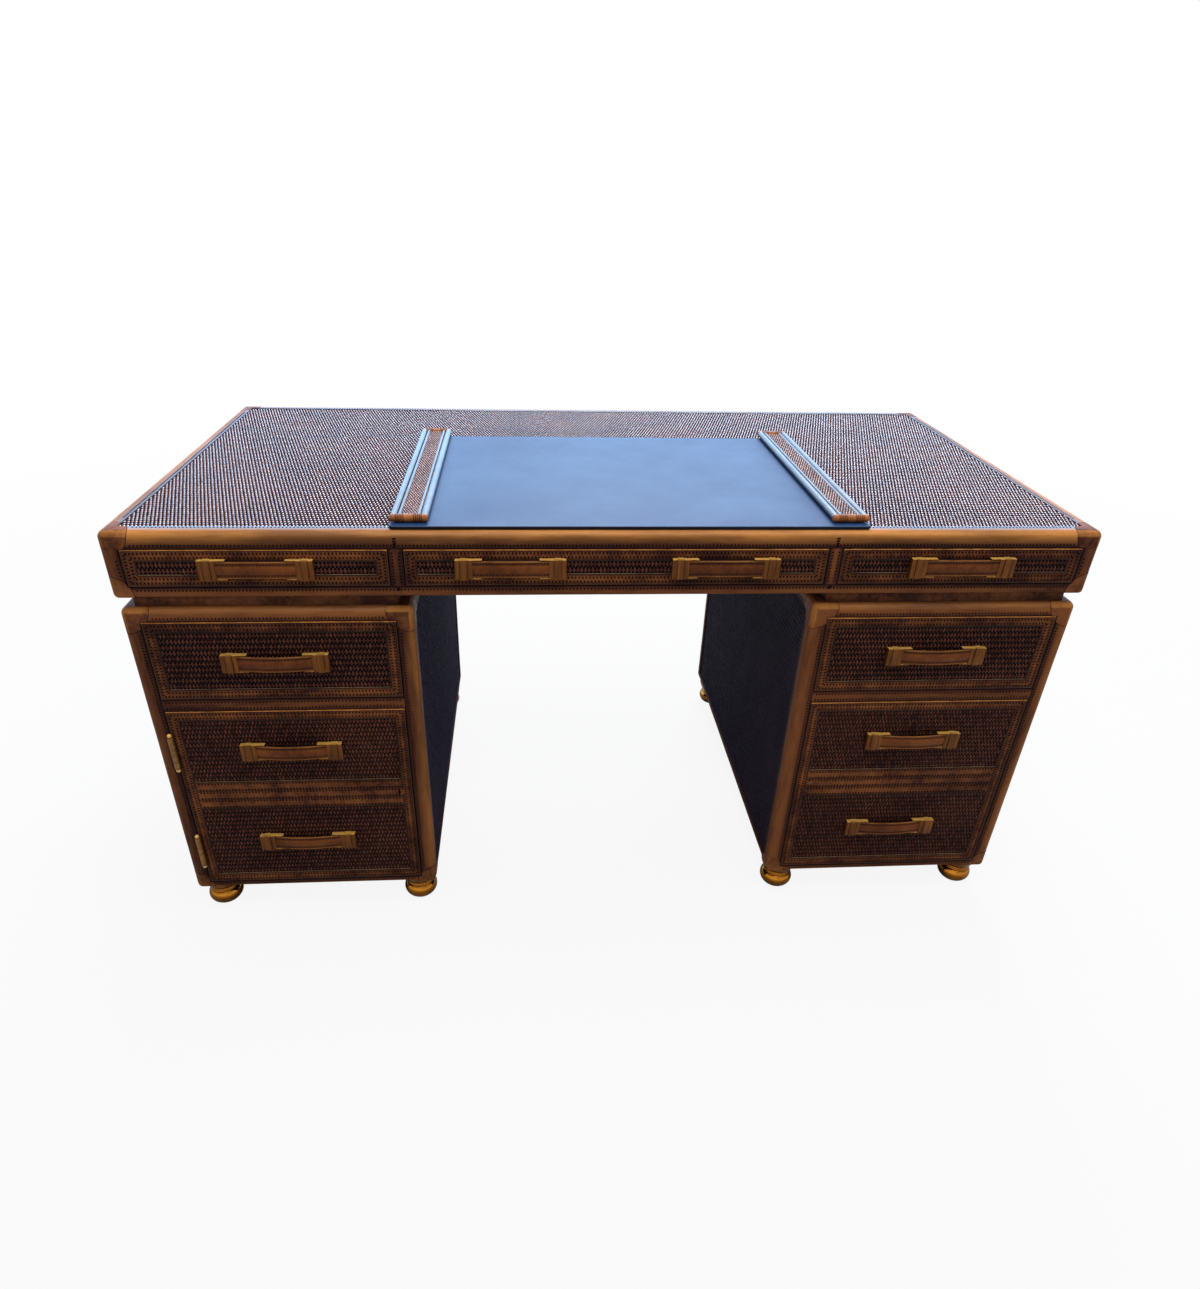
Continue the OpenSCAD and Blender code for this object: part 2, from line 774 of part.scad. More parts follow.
module door_weaves() {
    color(rattan)
        for (p = tall_pockets)
            inlay(reveal - ped_open_x1, -ped_open_x0 - reveal, ped_front_y, p);
}

module door_brackets() {
    for (z = tall_handles_z)
        brackets_at(-ped_mid_x, ped_front_y, z);
}

module door_straps() {
    for (z = tall_handles_z)
        strap_at(-ped_mid_x, ped_front_y, z);
}

// Barrel through the door with a keyhole in its face, and a case on the door's back
module door_lock() {
    color(brass)
        difference() {
            union() {
                translate([keyhole_x, ped_front_y, keyhole_z])
                    rotate([-90, 0, 0])
                        cylinder(d = lock_d, h = front_t + lock_case_t / 2);
                block(keyhole_x - lock_case_w / 2, keyhole_x + lock_case_w / 2, ped_front_y + front_t,
                      ped_front_y + front_t + lock_case_t, keyhole_z - lock_case_h / 2, keyhole_z + lock_case_h / 2);
            }
            translate([keyhole_x, ped_front_y - 1, keyhole_z + 1])
                rotate([-90, 0, 0])
                    cylinder(d = 3.5, h = front_t);
            block(keyhole_x - 0.8, keyhole_x + 0.8, ped_front_y - 1, ped_front_y + front_t - 1,
                  keyhole_z - 4, keyhole_z + 1);
        }
}

module deep_drawer_front() {
    color(leather)
        bordered_front(ped_open_x0 + reveal, ped_open_x1 - reveal, ped_front_y, lower_z0, lower_z1, tall_pockets);
}

module deep_drawer_weaves() {
    color(rattan)
        for (p = tall_pockets)
            inlay(ped_open_x0 + reveal, ped_open_x1 - reveal, ped_front_y, p);
}

module deep_drawer_box() {
    color(wood)
        drawer_box(ped_open_x0 + box_side_gap, ped_open_x1 - box_side_gap, ped_front_y,
                   lower_low_z + slide_gap, lower_low_z + slide_gap + deep_box_h, pedestal_box_len);
}

module deep_drawer_brackets() {
    for (z = tall_handles_z)
        brackets_at(ped_mid_x, ped_front_y, z);
}

module deep_drawer_straps() {
    for (z = tall_handles_z)
        strap_at(ped_mid_x, ped_front_y, z);
}

// Desk pad

pad_x0 = pad_shift - pad_w / 2;
pad_y0 = front_y + pad_front;
pad_z0 = top_z + pad_gap;
rail_z0 = pad_z0 + pad_t;
rail_y0 = pad_y0 + rail_front;

module desk_pad() {
    color(dark_leather)
        translate([pad_x0, pad_y0, pad_z0])
            linear_extrude(pad_t)
                four_round_corners(pad_w, pad_d, pad_r);
}

module pad_rails() {
    color(leather)
        for (x = [pad_x0, pad_x0 + pad_w - rail_w])
            difference() {
                translate([x, rail_y0, rail_z0])
                    linear_extrude(rail_h)
                        four_round_corners(rail_w, rail_len, pole_w / 3);
                block(x + pole_w, x + rail_w - pole_w, rail_y0 + pole_w, rail_y0 + rail_len - pole_w,
                      rail_z0 + rail_h - inlay_drop - weave_t, rail_z0 + rail_h + 1);
            }
}

module pad_rail_weaves() {
    color(rattan)
        for (x = [pad_x0, pad_x0 + pad_w - rail_w])
            block(x + pole_w, x + rail_w - pole_w, rail_y0 + pole_w, rail_y0 + rail_len - pole_w,
                  rail_z0 + rail_h - inlay_drop - weave_t, rail_z0 + rail_h - inlay_drop);
}

top_board();
woven_top();
top_mouldings();
top_frame();
top_side_panels();
top_back_panel();
drawer_dividers();
dust_board();
drawer_guides();
plinths();
pedestal_posts();
pedestal_front_rails();
pedestal_edge_rails();
pedestal_side_panels();
pedestal_back_panels();
pedestal_boards();
cabinet_shelf();
shelf_pins();
bun_feet();
hinge_frame_leaves();
hinge_pins();
door_panel();
door_weaves();
door_brackets();
door_straps();
hinge_door_leaves();
door_lock();
left_shallow_front();
left_shallow_weave();
left_shallow_box();
left_shallow_brackets();
left_shallow_strap();
wide_shallow_front();
wide_shallow_weave();
wide_shallow_box();
wide_shallow_brackets();
wide_shallow_straps();
right_shallow_front();
right_shallow_weave();
right_shallow_box();
right_shallow_brackets();
right_shallow_strap();
left_upper_front();
left_upper_weave();
left_upper_box();
left_upper_brackets();
left_upper_strap();
right_upper_front();
right_upper_weave();
right_upper_box();
right_upper_brackets();
right_upper_strap();
deep_drawer_front();
deep_drawer_weaves();
deep_drawer_box();
deep_drawer_brackets();
deep_drawer_straps();
desk_pad();
pad_rails();
pad_rail_weaves();
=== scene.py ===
import math

import bmesh
import bpy
import numpy as np
from mathutils import Matrix, Vector, noise


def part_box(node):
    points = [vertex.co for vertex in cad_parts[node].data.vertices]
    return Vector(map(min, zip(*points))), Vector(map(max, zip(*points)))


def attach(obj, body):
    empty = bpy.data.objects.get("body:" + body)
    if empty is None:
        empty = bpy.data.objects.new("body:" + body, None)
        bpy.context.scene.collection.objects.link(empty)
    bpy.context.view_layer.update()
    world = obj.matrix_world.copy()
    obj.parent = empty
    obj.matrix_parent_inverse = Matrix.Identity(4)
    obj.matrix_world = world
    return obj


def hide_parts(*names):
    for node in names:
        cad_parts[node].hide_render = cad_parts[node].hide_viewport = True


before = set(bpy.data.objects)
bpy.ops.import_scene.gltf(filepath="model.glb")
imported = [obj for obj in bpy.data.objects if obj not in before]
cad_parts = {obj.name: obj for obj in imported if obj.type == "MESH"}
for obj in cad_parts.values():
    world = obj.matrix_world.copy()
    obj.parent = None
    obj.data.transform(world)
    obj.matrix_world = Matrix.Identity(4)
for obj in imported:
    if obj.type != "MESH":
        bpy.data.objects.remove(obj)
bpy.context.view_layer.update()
scene = bpy.context.scene


def placed(name, data):
    obj = bpy.data.objects.new(name, data)
    scene.collection.objects.link(obj)
    return obj


# Camera

cameraSet = {
    "place": (-0.14126, -1.53549, 1.23058),
    "tilt": -30.17,         # degrees, below the horizon is negative
    "turn": -4.54,          # degrees, to the right is negative
    "roll": -1.69,
    "focalPixels": 832.9,   # in pixels of the photograph
    "middlePixel": (584.7, 657.1),
    "photoSize": (1200, 1289),
    "sensor": 36,
    "farthest": 200,
}


def makeCamera():
    s = cameraSet
    wide, high = s["photoSize"]
    data = bpy.data.cameras.new("deskCamera")
    data.sensor_width = s["sensor"]
    data.lens = s["focalPixels"] * s["sensor"] / high
    data.shift_x = (wide / 2 - s["middlePixel"][0]) / high
    data.shift_y = (s["middlePixel"][1] - high / 2) / high
    data.clip_end = s["farthest"]
    turn, tilt, roll, lookAlongY = [Matrix.Rotation(math.radians(angle), 4, axis) for angle, axis in
                                    ((s["turn"], "Z"), (s["tilt"], "X"), (s["roll"], "Y"), (90, "X"))]
    scene.camera = placed("deskCamera", data)
    scene.camera.matrix_world = Matrix.Translation(s["place"]) @ (turn @ tilt @ roll) @ lookAlongY


makeCamera()
print("camera set")


# Shader helpers and the groups that several materials share

def tone(red, green, blue):
    # sRGB parts from 0 to 255, made linear
    parts = [part / 255 for part in (red, green, blue)]
    linear = [part / 12.92 if part <= 0.04045 else ((part + 0.055) / 1.055) ** 2.4 for part in parts]
    return (*linear, 1.0)


def fill(tree, node, inputs):
    # Each input gets a value, or a link from the socket of another node
    for key, value in inputs.items():
        if isinstance(value, bpy.types.NodeSocket):
            tree.links.new(value, node.inputs[key])
        else:
            node.inputs[key].default_value = value


def addNode(tree, kind, inputs=None, **settings):
    made = tree.nodes.new("ShaderNode" + kind)
    for key, value in settings.items():
        setattr(made, key, value)
    fill(tree, made, inputs or {})
    return made


def mixed(tree, factor, first, second):
    return addNode(tree, "Mix", {0: factor, 6: first, 7: second}, data_type="RGBA").outputs[2]


def ranged(tree, value, fromLow, fromHigh, toLow=0.0, toHigh=1.0):
    return addNode(tree, "MapRange", {"Value": value, "From Min": fromLow, "From Max": fromHigh,
                                      "To Min": toLow, "To Max": toHigh}).outputs[0]


def calc(tree, operation, first, second):
    return addNode(tree, "Math", {0: first, 1: second}, operation=operation).outputs[0]


def times(tree, first, second):
    return calc(tree, "MULTIPLY", first, second)


def plus(tree, first, second):
    return calc(tree, "ADD", first, second)


def noiseAt(tree, vector, scale, detail=3.0, roughness=0.55):
    return addNode(tree, "TexNoise", {"Vector": vector, "Scale": scale, "Detail": detail,
                                      "Roughness": roughness}).outputs["Fac"]


def attributeOf(tree, name, output="Fac"):
    return addNode(tree, "Attribute", attribute_name=name).outputs[output]


def newGroup(name, colours, numbers, gives=("Color", "Roughness", "Height")):
    # A group that takes a vector, colours and numbers, these with their usual values
    group = bpy.data.node_groups.new(name, "ShaderNodeTree")
    takes = [("Vector", "Vector", None)] + [(label, "Color", None) for label in colours]
    for label, kind, value in takes + [(label, "Float", value) for label, value in numbers.items()]:
        socket = group.interface.new_socket(label, in_out="INPUT", socket_type="NodeSocket" + kind)
        if value is not None:
            socket.default_value = value
    for label in gives:
        kind = "Color" if label == "Color" else "Float"
        group.interface.new_socket(label, in_out="OUTPUT", socket_type="NodeSocket" + kind)
    return group, group.nodes.new("NodeGroupInput").outputs, group.nodes.new("NodeGroupOutput")


def leatherGroup():
    # Blotchy waxed leather: dark stain near the stitched edges; lighter where it is worn, and where a
    # highlight is painted on the upper edges
    group, take, give = newGroup("leatherFinish", ("Stain", "Dark", "Light", "Worn And Lit"),
                                 {"Blotch Scale": 22.0, "Edge": 0.0, "Wear And Highlight": 0.0})
    vector, scale = take["Vector"], take["Blotch Scale"]
    broad = noiseAt(group, vector, times(group, scale, 0.3), 2.0)
    blotch = noiseAt(group, vector, scale, 5.0, 0.62)
    streaks = noiseAt(group, vector, times(group, scale, 7.0))
    dents = noiseAt(group, vector, times(group, scale, 6.0))
    cells = addNode(group, "TexVoronoi", {"Vector": vector, "Scale": 900.0}).outputs["Distance"]
    shade = plus(group, times(group, broad, 0.45), times(group, blotch, 0.55))
    shade = plus(group, shade, ranged(group, streaks, 0.3, 0.7, -0.05, 0.05))
    body = mixed(group, ranged(group, shade, 0.4, 0.6), take["Dark"], take["Light"])
    wearAndHighlight = times(group, take["Wear And Highlight"], ranged(group, blotch, 0.35, 0.6, 0.35, 1.0))
    stained = times(group, take["Edge"], ranged(group, blotch, 0.3, 0.7, 0.75, 1.15))
    stained = ranged(group, stained, 0.1, 0.95)
    fill(group, give, {
        "Color": mixed(group, stained, mixed(group, wearAndHighlight, body, take["Worn And Lit"]), take["Stain"]),
        "Roughness": plus(group, ranged(group, blotch, 0.3, 0.7, 0.50, 0.36), times(group, stained, 0.12)),
        "Height": plus(group, times(group, cells, 0.35), dents)})
    return group


def strandGroup():
    # Rattan strands: each has its own shade, with thin fibres along it and dirt in broad patches
    group, take, give = newGroup("strandFinish", ("Dark", "Light"), {"Shade": 0.5}, ("Color", "Roughness"))
    patch = noiseAt(group, take["Vector"], 9.0)
    fibre = noiseAt(group, take["Vector"], 700.0, 2.0)
    shade = plus(group, times(group, take["Shade"], 0.55),
                 times(group, ranged(group, patch, 0.3, 0.7), 0.35))
    shade = plus(group, shade, ranged(group, fibre, 0.3, 0.7, -0.12, 0.12))
    fill(group, give, {"Color": mixed(group, ranged(group, shade, 0.05, 0.95), take["Dark"], take["Light"]),
                       "Roughness": ranged(group, fibre, 0.3, 0.7, 0.32, 0.5)})
    return group


def woodGroup():
    # Long grain along the stretched axis of the vector, with fine pores
    group, take, give = newGroup("woodFinish", ("Dark", "Light"), {})
    rings = noiseAt(group, take["Vector"], 14.0, 4.0, 0.6)
    pores = noiseAt(group, take["Vector"], 90.0, 3.0, 0.7)
    both = plus(group, times(group, rings, 0.7), times(group, pores, 0.3))
    fill(group, give, {"Color": mixed(group, ranged(group, both, 0.36, 0.64), take["Dark"], take["Light"]),
                       "Roughness": ranged(group, pores, 0.3, 0.7, 0.42, 0.6), "Height": pores})
    return group


def metalGroup():
    # Lacquered brass with brown age spots and fine rubbing marks
    group, take, give = newGroup("metalFinish", ("Bright", "Aged"),
                                 {"Age": 0.5, "Spot Scale": 60.0, "Smooth": 0.25})
    spots = noiseAt(group, take["Vector"], take["Spot Scale"], 5.0, 0.65)
    marks = noiseAt(group, take["Vector"], times(group, take["Spot Scale"], 12.0), 2.0)
    # On the feet the age also carries painted reflection and highlight bands
    ageAndPaintedReflection = times(group, ranged(group, spots, 0.3, 0.6, 0.35, 1.0), take["Age"])
    rough = plus(group, take["Smooth"], times(group, ageAndPaintedReflection, 0.25))
    fill(group, give, {"Color": mixed(group, ageAndPaintedReflection, take["Bright"], take["Aged"]), "Height": marks,
                       "Roughness": plus(group, rough, ranged(group, marks, 0.3, 0.7, -0.04, 0.04))})
    return group


leatherFinish, strandFinish, woodFinish, metalFinish = [
    make() for make in (leatherGroup, strandGroup, woodGroup, metalGroup)]


def newMaterial(name, group, values, bumpDepth=0.0, stretch=None, specular=0.5, metallic=0.0,
                coat=(0.0, 0.03, 1.5), waxed=0.0):
    # A Principled surface fed by one finish group. A value that is a name comes from the piece's
    # attribute, stretch scales the pattern on each axis, the coat is its weight, roughness and
    # index, and waxed is the weight of the coat on the tops
    material = bpy.data.materials.new(name)
    material.use_nodes = True
    tree = material.node_tree
    if group is leatherFinish:
        vector = attributeOf(tree, "grain", "Vector")
    else:
        vector = addNode(tree, "TexCoord").outputs["Object"]
    if stretch:
        vector = addNode(tree, "Mapping", {"Vector": vector, "Scale": stretch}).outputs[0]
    inputs = {key: attributeOf(tree, value) if isinstance(value, str) else value
              for key, value in values.items()}
    made = addNode(tree, "Group", {"Vector": vector, **inputs}, node_tree=group).outputs
    surface = {"Base Color": made["Color"], "Roughness": made["Roughness"], "Specular IOR Level": specular,
               "Metallic": metallic, "Coat Weight": coat[0], "Coat Roughness": coat[1], "Coat IOR": coat[2]}
    if bumpDepth:
        surface["Normal"] = addNode(tree, "Bump", {"Height": made["Height"], "Distance": bumpDepth,
                                                   "Strength": 1.0}).outputs["Normal"]
    if waxed:
        surface["Coat Weight"] = times(tree, attributeOf(tree, "polished"), waxed)
    fill(tree, tree.nodes["Principled BSDF"], surface)
    return material


def newLeather(name, bumpDepth, specular, tones, blotchScale=22.0, **more):
    # The four tones are of stained, dark and light leather, and of worn leather that also paints the
    # highlight
    values = {key: tone(*part) for key, part in zip(("Stain", "Dark", "Light", "Worn And Lit"), tones)}
    values.update({"Blotch Scale": blotchScale, "Edge": "edgeStain", "Wear And Highlight": "wearAndHighlight"})
    return newMaterial(name, leatherFinish, values, bumpDepth, specular=specular, **more)


def newStrands(name, specular, dark, light, shade="shade", **more):
    values = {"Dark": tone(*dark), "Light": tone(*light), "Shade": shade}
    return newMaterial(name, strandFinish, values, specular=specular, **more)


def newWood(name, dark, light, stretch):
    values = {"Dark": tone(*dark), "Light": tone(*light)}
    return newMaterial(name, woodFinish, values, 0.0002, stretch, 0.3)


def newBrass(name, bright, ageAndPaintedReflection, age, spotScale, smooth, metallic, bumpDepth=0.00003, stretch=None):
    values = {"Bright": tone(*bright), "Aged": tone(*ageAndPaintedReflection), "Age": age, "Spot Scale": spotScale,
              "Smooth": smooth}
    return newMaterial(name, metalFinish, values, bumpDepth, stretch, metallic=metallic)


# Its worn tone is also the painted highlight on the upper outer edges
stitchedLeather = newLeather("stitchedLeather", 0.0004, 0.03, (
    (34, 19, 22), (63, 36, 28), (123, 74, 43), (194, 130, 64)), coat=(0.0, 0.22, 1.5), waxed=0.8)
strapLeather = newLeather("strapLeather", 0.0003, 0.1, (
    (30, 14, 10), (83, 43, 20), (119, 66, 29), (140, 94, 46)))
# The beads' dark tones paint the shade along the inlays, and their worn tone paints a highlight on the lower
# bead's upward faces; the rim is dark, with a painted highlight along its top edge
beadLeather = newLeather("beadLeather", 0.0001, 0.12, (
    (26, 13, 12), (30, 17, 14), (52, 33, 24), (122, 95, 70)))
rimLeather = newLeather("rimLeather", 0.0001, 0.2, (
    (40, 21, 12), (48, 26, 14), (80, 47, 24), (208, 134, 60)))
poleLeather = newLeather("poleLeather", 0.0001, 0.2, (
    (50, 24, 12), (108, 58, 22), (150, 88, 36), (160, 102, 50)), 30.0)
waxedPole = newLeather("waxedPole", 0.0001, 0.2, (
    (24, 16, 16), (42, 34, 36), (62, 52, 52), (80, 66, 62)), 30.0, coat=(0.65, 0.2, 1.5))
# The pad's blue tones paint the sky's reflection on near-black leather, whose own tone shows on its sides
padLeatherPaintedReflection = newLeather("padLeatherPaintedReflection", 0.00004, 0.12, (
    (9, 10, 14), (28, 52, 88), (33, 58, 95), (48, 74, 110)), 5.0)
threadMaterial = newStrands("darkThread", 0.0, (12, 6, 7), (26, 12, 10), 0.4)
# The top's strands are lighter than the fronts' partly to paint the sheen of the light above
topStrandsPaintedSheen = newStrands("topStrandsPaintedSheen", 0.2, (68, 40, 38), (148, 100, 87), coat=(1.0, 0.12, 1.72))
railStrands = newStrands("railStrands", 0.1, (96, 64, 60), (180, 134, 116), coat=(0.5, 0.15, 1.5))
frontStrands = newStrands("frontStrands", 0.06, (47, 24, 20), (112, 65, 48))
# A darker copy of the front strands: painted shade on the sides and backs
shadedSideStrands = newStrands("shadedSideStrands", 0.06, (23, 15, 21), (50, 34, 38))
shadedKneeholeStrands = newStrands("shadedKneeholeStrands", 0.06, (15, 12, 34), (36, 29, 62))   # a darker navy copy for the kneehole: painted shade and a painted navy reflection
weftStrands = newStrands("weftStrands", 0.0, (54, 30, 26), (96, 62, 48), 0.5)
# These near-black grounds behind the strands paint the shade between them
shadedWovenGround = newStrands("shadedWovenGround", 0.03, (9, 5, 8), (22, 12, 15), 0.4)
topGround = newStrands("topGround", 0.0, (22, 9, 13), (52, 26, 27), 0.4)
panelWood = newWood("panelWood", (72, 44, 24), (112, 74, 42), (1.0, 12.0, 12.0))
boardWood = newWood("boardWood", (92, 58, 32), (138, 96, 58), (12.0, 1.0, 12.0))
agedBrass = newBrass("agedBrass", (146, 90, 40), (79, 46, 21), 0.85, 50.0, 0.3, 0.85,
                     stretch=(2.5, 1.0, 0.25))
# Bright brass for the pins, and for the brackets' upward faces, where it also paints the highlight
rubbedAndHighlitBrass = newBrass("rubbedAndHighlitBrass", (232, 186, 96), (180, 130, 58), 0.6, 90.0, 0.22, 0.35)
hingeBrass = newBrass("hingeBrass", (176, 130, 62), (94, 62, 27), 0.8, 120.0, 0.2, 0.6)
# The feet's brass takes its age from a height mask that also paints a dark reflection low on the ball and
# highlight bands above
polishedBrass = newBrass("polishedBrass", (176, 113, 36), (42, 21, 9), "ageAndPaintedReflection", 40.0, 0.08, 1.0, 0.00002)
print("materials made")


# Helpers for pieces

up, forward, back = Vector((0, 0, 1)), Vector((0, -1, 0)), Vector((0, 1, 0))   # forward is to the sitter
left, right = Vector((-1, 0, 0)), Vector((1, 0, 0))
upright = (left, right, forward, back)
tiny = 1e-6


def around(points):
    # The lowest and highest corner of the box round some points
    return [Vector([pick(point[axis] for point in points) for axis in range(3)]) for pick in (min, max)]


def solidBoxes(node):
    # The box round each separate solid of a CAD node
    source = bmesh.new()
    source.from_mesh(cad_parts[node].data)
    bmesh.ops.remove_doubles(source, verts=source.verts[:], dist=tiny)
    waiting = set(source.verts)
    boxes = []
    while waiting:
        found = [waiting.pop()]
        for vert in found:
            for edge in vert.link_edges:
                other = edge.other_vert(vert)
                if other in waiting:
                    waiting.remove(other)
                    found.append(other)
        boxes.append(around([vert.co for vert in found]))
    source.free()
    return sorted(boxes, key=lambda box: [round(part, 4) for part in box[0]])


def nodeOf(name, part):
    # The node of a part that some fronts have once and others twice
    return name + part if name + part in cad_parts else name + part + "s"


def numbered(name, number, made):
    # With a number only if there are several
    return name + "_" + str(number + 1) if len(made) > 1 else name


def near(first, second, within=0.0006):
    return abs(first - second) < within


def longestAxis(vector):
    return max(range(3), key=lambda axis: abs(vector[axis]))


def toMesh(bm, name):
    mesh = bpy.data.meshes.new(name)
    bm.to_mesh(mesh)
    bm.free()
    return mesh


def gathered(meshes):
    # One bmesh from several meshes, with their attributes
    bm = bmesh.new()
    for mesh in meshes:
        bm.from_mesh(mesh)
        bpy.data.meshes.remove(mesh)
    return bm


def evaluated(obj):
    return bpy.data.meshes.new_from_object(obj.evaluated_get(bpy.context.evaluated_depsgraph_get()))


def isSharp(edge, degrees):
    return edge.calc_face_angle(0.0) >= math.radians(degrees)


def shadeByAngle(bm):
    for face in bm.faces:
        face.smooth = True
    for edge in bm.edges:
        edge.smooth = not isSharp(edge, 38)


def addPiece(bm, name, body, materials, stands=()):
    if isinstance(bm, bmesh.types.BMesh):
        shadeByAngle(bm)
        bm = toMesh(bm, name)
    obj = placed(name, bm)
    for material in materials:
        obj.data.materials.append(material)
    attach(obj, body)
    if stands:
        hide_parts(*stands)


def finishNode(node, material, edge=0.0):
    # A CAD node's own solids with another material and softer edges
    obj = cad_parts[node]
    obj.data.materials.clear()
    obj.data.materials.append(material)
    if edge:
        weld = obj.modifiers.new("Weld", "WELD")
        weld.merge_threshold = 0.00001
        soften = obj.modifiers.new("Soften", "BEVEL")
        soften.width = edge
        soften.segments = 2
        soften.limit_method = "ANGLE"
        soften.angle_limit = math.radians(40)


def everything(bm):
    return bm.verts[:] + bm.edges[:] + bm.faces[:]


def cutAcross(bm, axis, places):
    normal = Vector([float(axis == other) for other in range(3)])
    for place in places:
        bmesh.ops.bisect_plane(bm, geom=everything(bm), plane_co=normal * place, plane_no=normal, dist=tiny)


def cutEvenly(bm, axis, low, high, count):
    cutAcross(bm, axis, [low[axis] + (high - low)[axis] * (k + 0.5) / count for k in range(count)])


def newBox(low, high):
    bm = bmesh.new()
    bmesh.ops.create_cube(bm, size=1.0)
    bmesh.ops.scale(bm, vec=high - low, verts=bm.verts)
    bmesh.ops.translate(bm, vec=(low + high) / 2, verts=bm.verts)
    return bm


def roundEdges(bm, edges, radius, segments):
    bmesh.ops.bevel(bm, geom=edges, offset=radius, offset_type="OFFSET", segments=segments, profile=0.5,
                    affect="EDGES", material=-1, clamp_overlap=True)


def softenEdges(bm, width, segments=2):
    roundEdges(bm, [edge for edge in bm.edges if isSharp(edge, 50)], width, segments)


def leatherMarks(bm, edgeStain=0.0, along=None):
    # The attributes that the leather materials read; the grain's place is the point's own, drawn
    # out along a bar
    marks = [bm.verts.layers.float.new(name) for name in ("edgeStain", "wearAndHighlight", "polished")]
    grain = bm.verts.layers.float_vector.new("grain")
    bm.normal_update()
    for vert in bm.verts:
        vert[marks[0]] = edgeStain
        vert[grain] = vert.co
        if along is not None:
            vert[grain][along] *= 0.15
    return marks


def plainBar(low, high, edge=0.0006):
    bm = newBox(Vector(low), Vector(high))
    softenEdges(bm, edge)
    return toMesh(bm, "bar")


def onFace(place, sideways, out):
    # Lays flat work at a place on a face that looks along out
    matrix = Matrix((sideways, out.cross(sideways), out)).transposed().to_4x4()
    matrix.translation = place
    return matrix


# Stitching

stitchSet = {
    "usual": (0.0055, 0.0050, 0.0034),     # from stitch to stitch, length and width
    "divider": (0.004, 0.008, 0.0034),
    "strap": (0.0045, 0.0034, 0.0021),
    "height": 0.0005,
    "lean": 14,          # degrees from square across the row
    "fromEdge": 0.0054,  # of a post, rail or moulding
    "fromCap": 0.004,
    "fromEnd": 0.004,
    "pastPost": 0.006,   # where the rows on the mouldings begin
    "search": 0.002,     # step by which a row is moved off a cap
}
stitchRows = {}          # body name to its rows of stitches


def stitchRow(body, start, end, out, kind="usual"):
    # A row of stitches from start to end, on a face that looks along out
    pitch, length, width = stitchSet[kind]
    start, end, out = Vector(start), Vector(end), Vector(out)
    count = max(2, round((end - start).length / pitch))
    step = (end - start) / count
    bm = bmesh.new()
    bmesh.ops.create_cone(bm, cap_ends=True, segments=6, radius1=0.5, radius2=0.28, depth=1.0)
    bmesh.ops.scale(bm, vec=(width, length, stitchSet["height"] * 2), verts=bm.verts)
    bmesh.ops.rotate(bm, matrix=Matrix.Rotation(math.radians(stitchSet["lean"]), 3, "Z"), verts=bm.verts)
    place = onFace(start + step / 2, (end - start).normalized(), out)
    bmesh.ops.transform(bm, matrix=place, verts=bm.verts)
    bmesh.ops.spin(bm, geom=everything(bm), cent=(0, 0, 0), axis=(0, 0, 1), dvec=step, angle=0.0,
                   steps=count - 1, use_merge=False, use_duplicate=True)
    stitchRows.setdefault(body, []).append(toMesh(bm, "row"))


# Leather posts, rails and mouldings

barSet = {
    "outerRound": 0.0115,   # radius of the edges on the outside of a unit
    "lowerRound": 0.0035,   # of its lower front and back edges
    "softEdge": 0.0009,
    "cutEvery": 0.035,      # along a bar
    "edgeCut": 0.005,       # rings of points beside the long edges
    "thinnest": 0.009,      # a side narrower than this gets no such rings
    "sag": 0.00022,         # how far the leather dips between high spots
    "sagScale": 30,
    "stainWidth": 0.0105,
    "narrowStain": 0.0068,  # on the pedestals' front rails
    # Outer edges turn lighter according to where they lie: some of this is wear, most is a painted
    # highlight, strongest on the desk top's upper edges and faint low down
    "edgeWearAndHighlight": {"desk": 1.0, "pedestal": 0.55, "upright": 0.08, "bottom": 0.05},
    "wearAndHighlightWidth": {"desk": 0.023, "pedestal": 0.015, "upright": 0.013, "bottom": 0.012},
    "waxWidth": (0.016, 0.0075, 0.016),   # of the shine on the tops of bars along x, y and z
    "roundingWax": 0.35,    # shine on the rounded edges, most where their normal's z is
    "roundingFace": (0.62, 0.33),         # the first of these, and none the second away
    "darker": {"top_frame": 0.22, "pedestal_posts": 0.12},   # darkening all over a node's bars, through the stain mask
    "topWithin": 0.001,     # what reaches this near a unit's top is on it
}
capSet = {
    "upper": 0.044,         # radius of the caps on upper and lower corners
    "lower": 0.034,
    "seam": 0.0009,
    "seamDepth": 0.00015,
    "overlap": 0.00012,     # over the bars under a cap
    "below": 0.001,         # a pedestal's upper caps may reach this far below their radius
    "wearAndHighlight": (0.6, 0.2),   # wear and painted highlight on upper and lower edges
    "stain": (0.0, 0.15),   # of upper and lower caps
    "upperPart": 0.02,      # a cap is an upper one this near the unit's top
    "edgeWithin": 0.008,    # a cap gets wear and a painted highlight where this near to two faces of the unit
}


def onOutside(first, second, unit):
    # True if the edge between two corners lies on two outer faces of the unit's box
    return sum(near(first[axis], second[axis], tiny)
               and any(near(first[axis], corner[axis]) for corner in unit) for axis in range(3)) == 2


def roundOutside(bm, edges, unit, segments):
    # The edges along the front and back of the unit's bottom get the smaller radius
    def isLower(edge):
        ends = [vert.co for vert in edge.verts]
        return near(ends[0].y, ends[1].y) and all(
            near(end.z, unit[0].z) and any(near(end.y, corner.y) for corner in unit) for end in ends)

    for radius, lower in ((barSet["outerRound"], False), (barSet["lowerRound"], True)):
        chosen = [edge for edge in edges if edge.is_valid and isLower(edge) == lower]
        if chosen:
            roundEdges(bm, chosen, radius, segments)


def cornersOf(unit):
    # Each corner with the radius of the leather cap on it
    return [(Vector((x, y, z)), radius) for x in (unit[0].x, unit[1].x) for y in (unit[0].y, unit[1].y)
            for z, radius in ((unit[0].z, capSet["lower"]), (unit[1].z, capSet["upper"]))]


